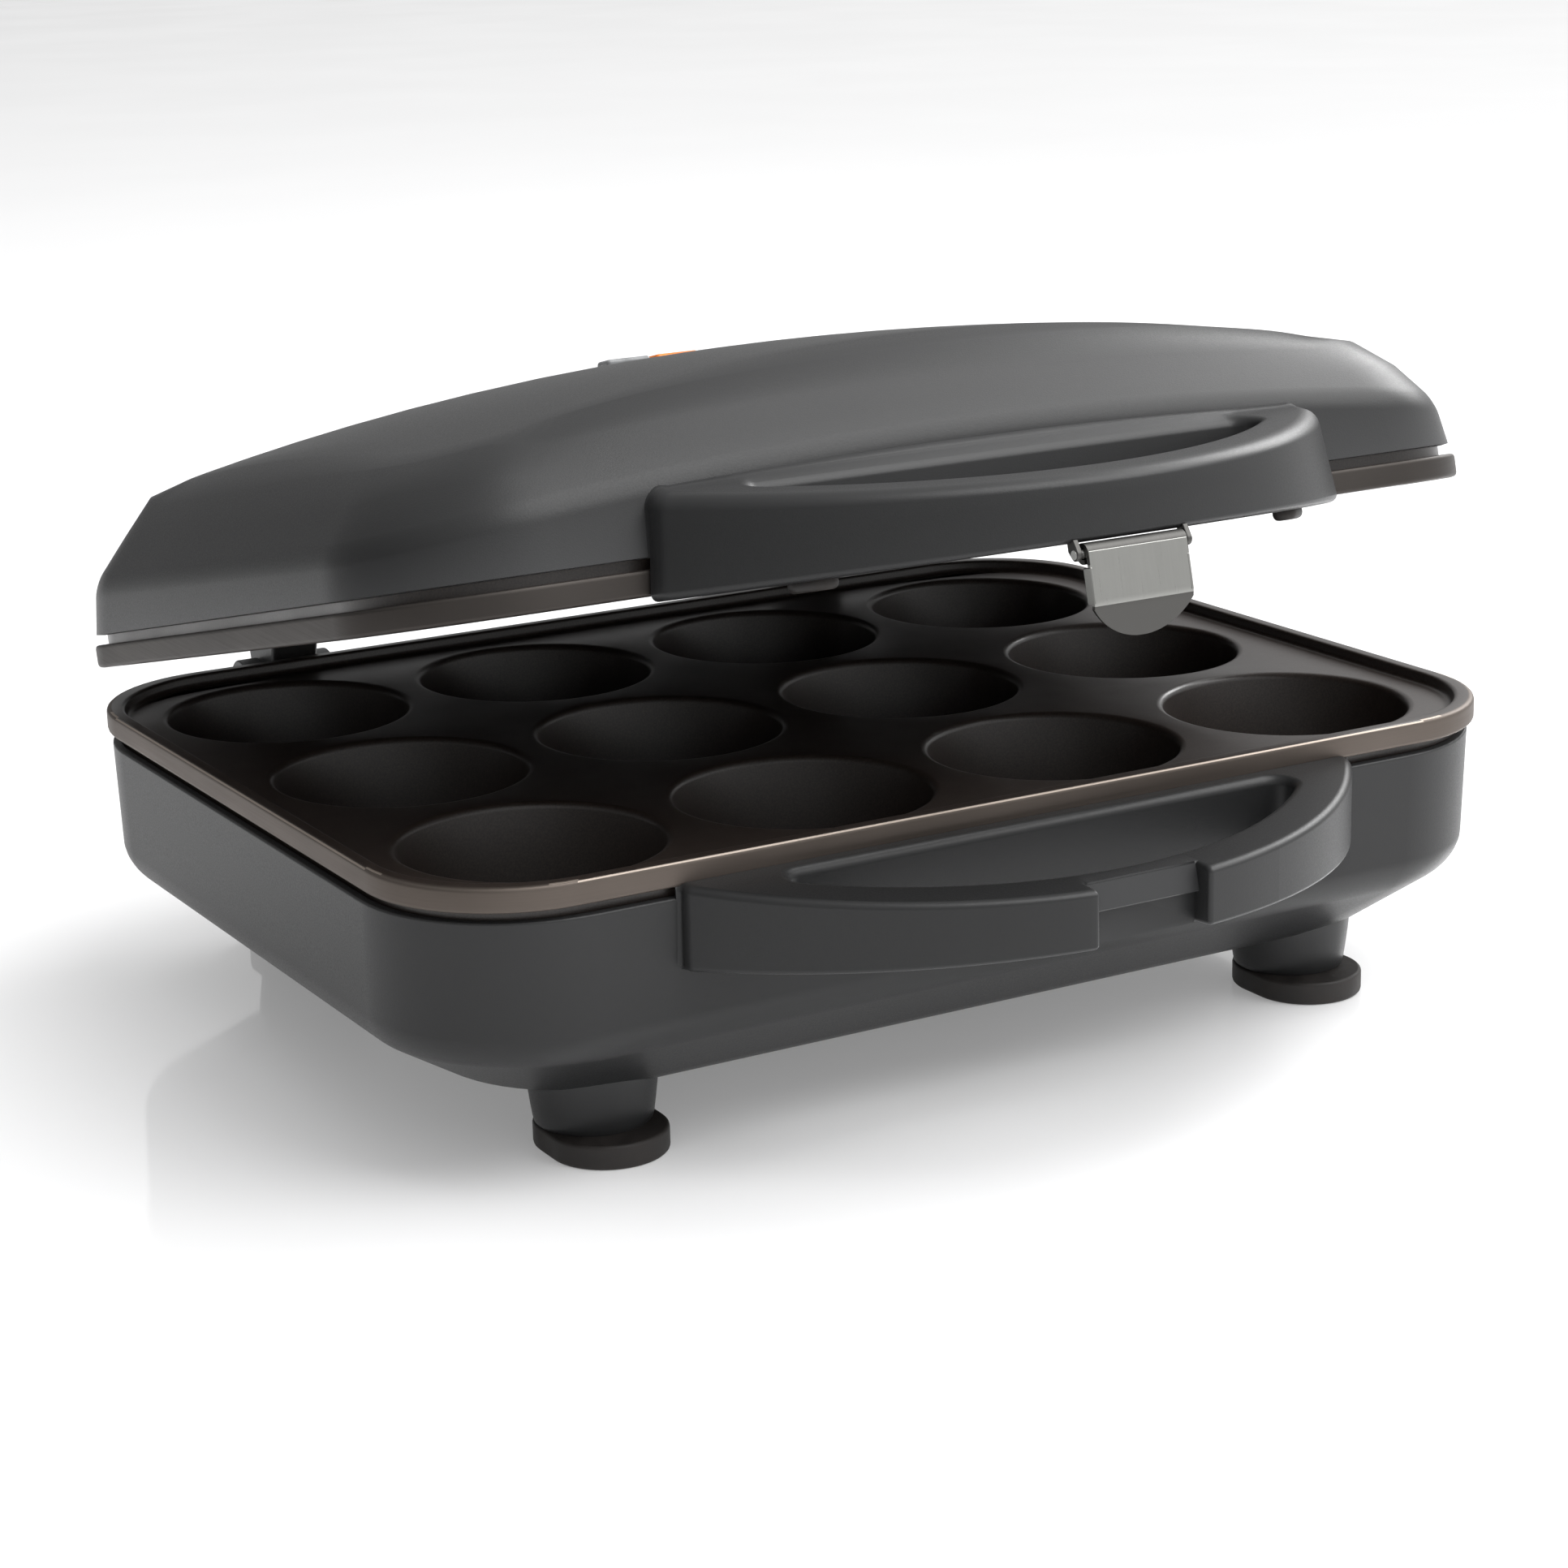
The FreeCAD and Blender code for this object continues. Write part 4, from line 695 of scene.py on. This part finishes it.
cover = bmesh.new()
facet_width = WIDTH - 2 * FACET_INSET
facet_depth = DEPTH - 2 * FACET_INSET
crown = rounded_sheet(cover, facet_width, facet_depth, CORNER - FACET_INSET, 0)
bmesh.ops.subdivide_edges(cover, edges=[edge for edge in cover.edges if edge.calc_length() > 100], cuts=50)
rim_edges = crown.edges[:]
for ring in range(FACET_RINGS):
    bmesh.ops.inset_region(cover, faces=[crown], thickness=RING, use_even_offset=True)
across = max(vert.co.x for vert in crown.verts) * 2
along = max(vert.co.y for vert in crown.verts) * 2
for share in DOME_RINGS:
    crown = drawn(cover, crown, across * share, along * share, 0)
for vert in cover.verts:
    vert.co.z = roof(vert.co.x, vert.co.y)
foot = only(BMVert, bmesh.ops.extrude_edge_only(cover, edges=rim_edges)["geom"])
bmesh.ops.scale(cover, vec=(WIDTH / facet_width, DEPTH / facet_depth, 1), verts=foot)
for vert in foot:
    vert.co.z = SKIRT
bmesh.ops.recalc_face_normals(cover, faces=cover.faces)
if crown.normal.z < 0:
    bmesh.ops.reverse_faces(cover, faces=cover.faces)
round_off(cover, rim_edges, FACET_ROUND, 6)
bmesh.ops.solidify(cover, geom=cover.faces[:], thickness=WALL)
settle(cover, "lid_cover", "lid", [CHARCOAL], ["upper_housing"], crease=60)


# Lid handle: the same D-shaped bar, moulded with the lid. It is deeper, slopes down to the front, and runs
# up into the skirt in a hollow curve.
BAR_FOOT = RIM - 1
LID_BAR_TOP = RIM + 27.5
LID_BAR_HEIGHT = 28
LID_BAR_FALL = 11.5
LID_BAR_TAPER = 0.035
LID_BAR_SUNK = 2.2
FLARE = 5
FLARE_LEAST = 0.5
FLARE_CUTS = (0.5, 1.1, 1.8, 2.6, 3.6)
UNDER_FACET = 1.5
ROOT_ZONE = 6
ROOT_PUSH = 1.3
ROOT_FRONT = FRONT - 0.8
ROOT_FOOT = SKIRT - 0.3


def lid_bar_top(ahead, x):
    """Level of the bar's top: a slope, with a hollow run up to just under the facet at the wall."""
    rise = min(FLARE, max(FLARE_LEAST, facet_foot(x, FRONT) - UNDER_FACET - LID_BAR_TOP))
    near = max(0.0, 1 - ahead / FLARE)
    return LID_BAR_TOP - ahead * LID_BAR_FALL / BAR_REACH + rise * (1 - math.sqrt(1 - near ** 2))


def near_wall(y):
    """1 at the front wall and behind it, falling to 0 at the end of the bar's root."""
    return min(1.0, max(0.0, 1 + (y - FRONT) / ROOT_ZONE))


bar = bmesh.new()
handle_bar(bar, root_x=112, root=2.2, corner=8.5, height=LID_BAR_HEIGHT, outer=(2.4, 4.8), inner=(2, 3))
trim(bar, FRONT + LID_BAR_SUNK)
for vert in bar.verts:
    vert.co.x *= 1 - LID_BAR_TAPER * vert.co.z / LID_BAR_HEIGHT
    vert.co.y += ROOT_PUSH * near_wall(vert.co.y)
for ahead in FLARE_CUTS:
    saw(bar, (0, FRONT - ahead, 0), (0, 1, 0))
slope(bar, LID_BAR_HEIGHT, lambda ahead: BAR_FOOT, lid_bar_top)
for vert in bar.verts:
    lean = FACET_INSET * (vert.co.z - SKIRT) / (facet_foot(vert.co.x, FRONT) - SKIRT)
    vert.co.y += near_wall(vert.co.y) * max(0.0, lean)
cut_away(bar, [((0, ROOT_FRONT, 0), (0, 1, 0)), ((0, 0, ROOT_FOOT), (0, 0, 1))],
         lambda place: place.y > ROOT_FRONT and place.z < ROOT_FOOT)
even_shading(settle(bar, "lid_handle", "lid", [CHARCOAL]))


# Hinge arms: two broad ears behind the skirt, moulded with the lid in the same plastic. Each sits between
# two lugs of the lower housing and turns on their pin.
ARM_WIDTH = 16
ARM_ROOT = DEPTH / 2 - 1.5
ARM_ROUND = 1.5
arm_corners = [(ARM_ROOT, SKIRT), (ARM_ROOT, SKIRT + 15), (KNUCKLE_Y + EYE, SKIRT + 3.5),
               (KNUCKLE_Y - EYE, SKIRT - 4.5)]
for number, x in enumerate((-100, 100), 1):
    arm = bmesh.new()
    hinge_ear(arm, x, ARM_WIDTH, arm_corners)
    clean_hull(arm, ARM_ROUND)
    even_shading(settle(arm, f"hinge_arm_{number}", "lid", [CHARCOAL]))


# Upper baking plate: the lower plate's twin turned over, cast and coated like it, with shallow round hollows
# above the cups. It is set in the lid, and its rim is a darker bronze.
PLATE_GAP = 0.65
DARK_BRONZE = rim_bronze("dark_bronze_rim", (0.042, 0.037, 0.034), (0.062, 0.055, 0.05))
hollow = below([(CUP + 2.2, 0), (CUP + 1.0, 0.2), (CUP + 0.2, 0.7), (CUP - 0.6, 1.5), (33, 5.2), (29, 7.4),
                (22, 8.5), (12, 8.9), (0, 9)])
hollow_behind = below([(CUP + 3, WEB), (CUP + 1, WEB + 1), (34, 8), (30, 9.8), (23, 10.7), (12, 11), (0, 11)])
domes = baking_plate(hollow, hollow_behind)
bmesh.ops.scale(domes, vec=(1, 1, -1), verts=domes.verts)
bmesh.ops.translate(domes, vec=(0, 0, 2 * RIM + PLATE_GAP), verts=domes.verts)
finishes = [COAT, DARK_BRONZE, DARK_BRONZE]
even_shading(settle(domes, "upper_plate", "lid", finishes, ["upper_baking_plate"]))


# Bumpers: two oblong rubber buttons that soften the lid's stop. They are pressed into the underside of the
# lid handle, each laid along the bow.
BUTTON_X = 75.8
BUTTON_Y = -161.6
BUTTON_Z = BAR_FOOT - 0.8
BUTTON = 3.3
BUTTON_HEIGHT = 4
BUTTON_ROUND = 1.6
BOW_X = 0.78
BOW_Y = 0.63
for side, x in SIDES:
    button = bmesh.new()
    for shift in (-BUTTON, BUTTON):
        centre = (x * (BUTTON_X + shift * BOW_X), BUTTON_Y + shift * BOW_Y, BUTTON_Z)
        disc(button, centre, BUTTON, BUTTON_HEIGHT, 40)
    hull_of(button, button.verts[:])
    clean_hull(button, BUTTON_ROUND)
    even_shading(settle(button, f"bumper_button_{side}", "lid", [RUBBER], [f"bumper_{side}"]))


# Signal lamps: a charcoal bezel let in flush near the rear of the roof, with a clear and an orange window
# side by side, both of glossy plastic.
LAMP_X = 8.7
LAMP_Y = 58
LAMPS = (("clear", -LAMP_X, (0.2, 0.205, 0.21), (0.32, 0.325, 0.33)),
         ("orange", LAMP_X, (0.75, 0.16, 0.012), (0.95, 0.26, 0.03)))


def lens_plastic(name, deep, bright):
    """Glossy lamp plastic, faintly mottled."""
    material = new_finish(name, IOR=1.4)
    surface(material, tint(material, speckle(material, scale=160, detail=3), deep, bright),
            spread(material, speckle(material, scale=500, detail=2), 0.2, 0.3))
    return material


def slab(bm, place, size, corner, edge):
    """Low block with round upright corners and a soft top edge; its place is the middle of its underside."""
    x, y, z = place
    height = size[2]
    block = bmesh.ops.create_cube(bm, size=1)["verts"]
    bmesh.ops.scale(bm, vec=size, verts=block)
    bmesh.ops.translate(bm, vec=(x, y, z + height / 2), verts=block)
    upright = [e for e in bm.edges if abs(e.verts[0].co.z - e.verts[1].co.z) > height / 2]
    round_off(bm, upright, corner, 6)
    round_off(bm, level_edges(bm, z + height), edge, 4)


bezel = bmesh.new()
slab(bezel, (0, LAMP_Y, LID_TOP - 5.5), (40.2, 15.4, 5.8), corner=2.2, edge=0.5)
even_shading(settle(bezel, "lamp_frame", "lid", [CHARCOAL], ["lamp_bezel"]))
for name, x, deep, bright in LAMPS:
    window = bmesh.new()
    slab(window, (x, LAMP_Y, LID_TOP - 5.3), (15.4, 8.6, 7.7), corner=1.2, edge=1.6)
    plastic = lens_plastic(f"{name}_lamp_plastic", deep, bright)
    even_shading(settle(window, f"{name}_window", "lid", [plastic], [f"{name}_lamp_lens"]))


# Latch: a strip of satin stainless sheet rolled round its pin, with a hem under the roll and a flange down
# each side. It leans back at its foot in a half-moon lip, and a hook behind the bend catches in the notch.
# Two steel cheeks under the lid handle carry the pin.
SHEET = 1.2
LATCH_Y = -195
LATCH_Z = RIM - 4
LATCH_HALF = 15.5
LATCH_EDGE = LATCH_HALF - 1.6
ROLL = 2.2
ROLL_TURN = math.radians(-285)
SHEET_Y = LATCH_Y - ROLL + SHEET / 2
HEM_END = 3
TONGUE = 11.6
BEND = 9
LEAN = math.radians(18)
MOON = 18.5
MOON_START = math.sqrt(MOON ** 2 - LATCH_HALF ** 2)
MOON_END = MOON - 0.05
MOON_STEPS = 16
SATIN_TOP = LATCH_Z - 2.5
SATIN_FOOT = LATCH_Z - 13.5
SOFT_EDGE = 0.25
CHEEK = 1.6
CHEEK_EYE = 1.7
CHEEK_X = LATCH_HALF + 1.7
CHEEK_ROUND = 0.3


def brushed_steel(name, colour, lines_along, rough):
    """Satin steel with fine drawn lines."""
    material = new_finish(name, Metallic=1.0)
    lines = speckle(material, scale=1600, detail=4, stretch=lines_along)
    dark = tuple(value * 0.96 for value in colour)
    surface(material, tint(material, lines, dark, colour, start=0.25, end=0.75),
            spread(material, lines, rough - 0.03, rough + 0.03))
    raise_grain(material, lines, height=0.00002, strength=0.04)
    return material


SATIN = brushed_steel("satin_latch_steel", (0.33, 0.33, 0.315), (1, 0.04, 0.04), 0.3)
# Much darker copy of the latch steel, painted shade: on the roll under the handle, on the lip at the foot and
# on the cheeks.
SHADED_STEEL = brushed_steel("shaded_latch_steel", (0.098, 0.096, 0.092), (1, 0.04, 0.04), 0.46)

# The cheeks sit under the handle and take the darker steel as painted shade.
for side, x in SIDES:
    cheek = bmesh.new()
    disc(cheek, (x * CHEEK_X, LATCH_Y, LATCH_Z), CHEEK_EYE, CHEEK, 32, lying=True)
    root = bmesh.ops.create_cube(cheek, size=1)["verts"]
    bmesh.ops.scale(cheek, vec=(CHEEK, 3, 3), verts=root)
    bmesh.ops.translate(cheek, vec=(x * CHEEK_X, LATCH_Y + 1.2, LATCH_Z + 2.4), verts=root)
    hull_of(cheek, cheek.verts[:])
    clean_hull(cheek, CHEEK_ROUND)
    even_shading(settle(cheek, f"latch_cheek_{side}", "lid", [SHADED_STEEL]))

strip = bmesh.new()
across_strip = (-LATCH_HALF, -LATCH_EDGE, 0, LATCH_EDGE, LATCH_HALF)
verts = [strip.verts.new((x, SHEET_Y, LATCH_Z)) for x in across_strip]
chain(strip, verts)
start = strip.edges[:]
bmesh.ops.spin(strip, geom=verts + start, cent=(0, LATCH_Y, LATCH_Z), axis=(1, 0, 0), angle=ROLL_TURN,
               steps=24)
end = carried(strip, start, (0, 0, -HEM_END))
end = carried(strip, end, (0, 0, HEM_END - TONGUE))
bend = bmesh.ops.spin(strip, geom=end + list({vert for edge in end for vert in edge.verts}),
                      cent=(0, SHEET_Y + BEND, LATCH_Z - TONGUE), axis=(1, 0, 0), angle=LEAN, steps=6)
end = only(BMEdge, bend["geom_last"])
gone = MOON_START
for step in range(1, MOON_STEPS + 1):
    now = MOON_START + math.sin(step / MOON_STEPS * math.pi / 2) * (MOON_END - MOON_START)
    width = math.sqrt(MOON ** 2 - now ** 2) / math.sqrt(MOON ** 2 - gone ** 2)
    drop = now - gone
    end = carried(strip, end, (0, drop * math.sin(LEAN), -drop * math.cos(LEAN)), (width, 1, 1))
    gone = now
bmesh.ops.solidify(strip, geom=strip.faces[:], thickness=-SHEET)
# The roll under the handle and the lip at the foot take the darker steel as painted shade; the strip between
# keeps the satin steel.
for face in strip.faces:
    if not SATIN_FOOT < face.calc_center_median().z < SATIN_TOP:
        face.material_index = 1
piece = settle(strip, "latch_strip", "latch", [SATIN, SHADED_STEEL], ["latch"])
soft = piece.modifiers.new("soft_edges", "BEVEL")
soft.width = SOFT_EDGE / 1000
soft.segments = 2
soft.limit_method = "ANGLE"
even_shading(piece)

hook = bmesh.new()
slab(hook, (0, LATCH_Y - ROLL + SHEET + 1.5, LATCH_Z - 14.3), (20, 3.6, SHEET), corner=0.5, edge=0.3)
even_shading(settle(hook, "latch_hook", "latch", [SATIN]))
hem = bmesh.new()
slab(hem, (0, LATCH_Y - 2.5, LATCH_Z - 3.4), (2 * LATCH_HALF, 0.7, 4), corner=0.3, edge=0.3)
even_shading(settle(hem, "latch_hem", "latch", [SATIN]))
for side, x in SIDES:
    flange = bmesh.new()
    slab(flange, (x * (LATCH_HALF - 0.3), LATCH_Y - 1.2, LATCH_Z - 13), (0.8, 3.4, 9.4), corner=0.3, edge=0.3)
    even_shading(settle(flange, f"latch_flange_{side}", "latch", [SATIN]))


# Pins, screws and the pieces inside: plated steel pins and screws, dull heating tubes, bright reflector
# sheets, a nylon terminal block and the lamps' board. They keep their plain turned and cut shapes.
def plain_plastic(name, low, high):
    """Matt technical plastic, faintly mottled."""
    material = new_finish(name)
    mottle = speckle(material, scale=300, detail=4)
    surface(material, tint(material, mottle, low, high), spread(material, mottle, 0.45, 0.6))
    return material


ZINC = brushed_steel("zinc_plate", (0.55, 0.55, 0.53), (0.1, 1, 1), 0.34)
TUBE = brushed_steel("scaled_heater_tube", (0.16, 0.15, 0.145), (1, 1, 1), 0.5)
MIRROR = brushed_steel("reflector_sheet", (0.75, 0.76, 0.77), (0.05, 1, 1), 0.22)
NYLON = plain_plastic("natural_nylon", (0.55, 0.52, 0.44), (0.66, 0.63, 0.55))
LAMINATE = plain_plastic("board_laminate", (0.02, 0.07, 0.03), (0.03, 0.10, 0.045))
inside = {
    ZINC: ("hinge_pin_left", "hinge_pin_right", "latch_pin", "lower_screws", "upper_screws", "thermostat",
           "thermal_fuse"),
    TUBE: ("lower_heating_element", "upper_heating_element"),
    MIRROR: ("lower_heat_shield", "upper_heat_shield"),
    NYLON: ("terminal_block",),
    LAMINATE: ("lamp_board",),
}
for finish, names in inside.items():
    for name in names:
        held = frame["nodes"][name].data.materials
        held.clear()
        held.append(finish)


# Studio: a glossy white table that fades into a white surround, one broad soft light from above and the
# right, a weaker box on the right, and the camera at the photograph's viewpoint.
BRIGHT_SIDE = (0.50, -0.36, 0.79)
KEY_TOWARDS = (-0.45, 0.30, -0.84)
BOX_PLACE = (1.5, 0.5, 1.0)
BOX_AIM = (0, 0, 0.15)
CAMERA_PLACE = (-0.52028, -0.90023, 0.35459)
CAMERA_RIGHT = (0.8651, -0.5011, -0.0245)
CAMERA_UP = (0.1563, 0.2229, 0.9622)
CAMERA_BACK = (-0.4767, -0.8362, 0.2712)


def table_gloss():
    """Polished white top with a little light of its own, so that it goes over into the surround."""
    material = new_finish("white_table", IOR=2.3, Emission_Color=(1, 1, 1, 1), Emission_Strength=0.22)
    cloud = speckle(material, scale=1.5, detail=2)
    surface(material, tint(material, cloud, (0.86, 0.86, 0.865), (0.88, 0.88, 0.885)),
            spread(material, speckle(material, scale=4, detail=2), 0.06, 0.09))
    return material


def hang(light, towards, place=(0, 0, 0)):
    """Put a light in its place, shining one way."""
    lamp = bpy.data.objects.new(light.name, light)
    lamp.location = place
    lamp.rotation_euler = Vector(towards).to_track_quat("-Z", "Y").to_euler()
    bpy.context.scene.collection.objects.link(lamp)


ground = bmesh.new()
bmesh.ops.create_grid(ground, x_segments=1, y_segments=1, size=8)
mesh = bpy.data.meshes.new("table_top")
ground.to_mesh(mesh)
ground.free()
mesh.materials.append(table_gloss())
table = bpy.data.objects.new("table_top", mesh)
bpy.context.scene.collection.objects.link(table)

world = bpy.data.worlds.new("studio_surround")
world.use_nodes = True
background = world.node_tree.nodes["Background"]
background.inputs["Color"].default_value = (1, 1, 1, 1)
place = node(world, "TexCoord")
towards = node(world, "VectorMath", operation="DOT_PRODUCT")
towards.inputs[1].default_value = BRIGHT_SIDE
wire(world, place.outputs["Generated"], towards, 0)
wire(world, spread(world, towards.outputs["Value"], 0.25, 1.1, start=-0.2, end=1.0), background, "Strength")
bpy.context.scene.world = world

box = bpy.data.lights.new("right_box", "AREA")
box.shape = "RECTANGLE"
box.size = 0.9
box.size_y = 0.8
box.energy = 17
hang(box, Vector(BOX_AIM) - Vector(BOX_PLACE), BOX_PLACE)

key = bpy.data.lights.new("broad_key", "SUN")
key.energy = 2.5
key.angle = math.radians(55)
hang(key, KEY_TOWARDS)

camera = bpy.data.objects.new("camera", bpy.data.cameras.new("camera"))
camera.data.lens = 81.28
camera.data.sensor_width = 36
turn = Matrix((CAMERA_RIGHT, CAMERA_UP, CAMERA_BACK)).transposed().to_4x4()
camera.matrix_world = Matrix.Translation(CAMERA_PLACE) @ turn
bpy.context.scene.collection.objects.link(camera)
bpy.context.scene.camera = camera
bpy.context.scene.view_settings.view_transform = "Standard"
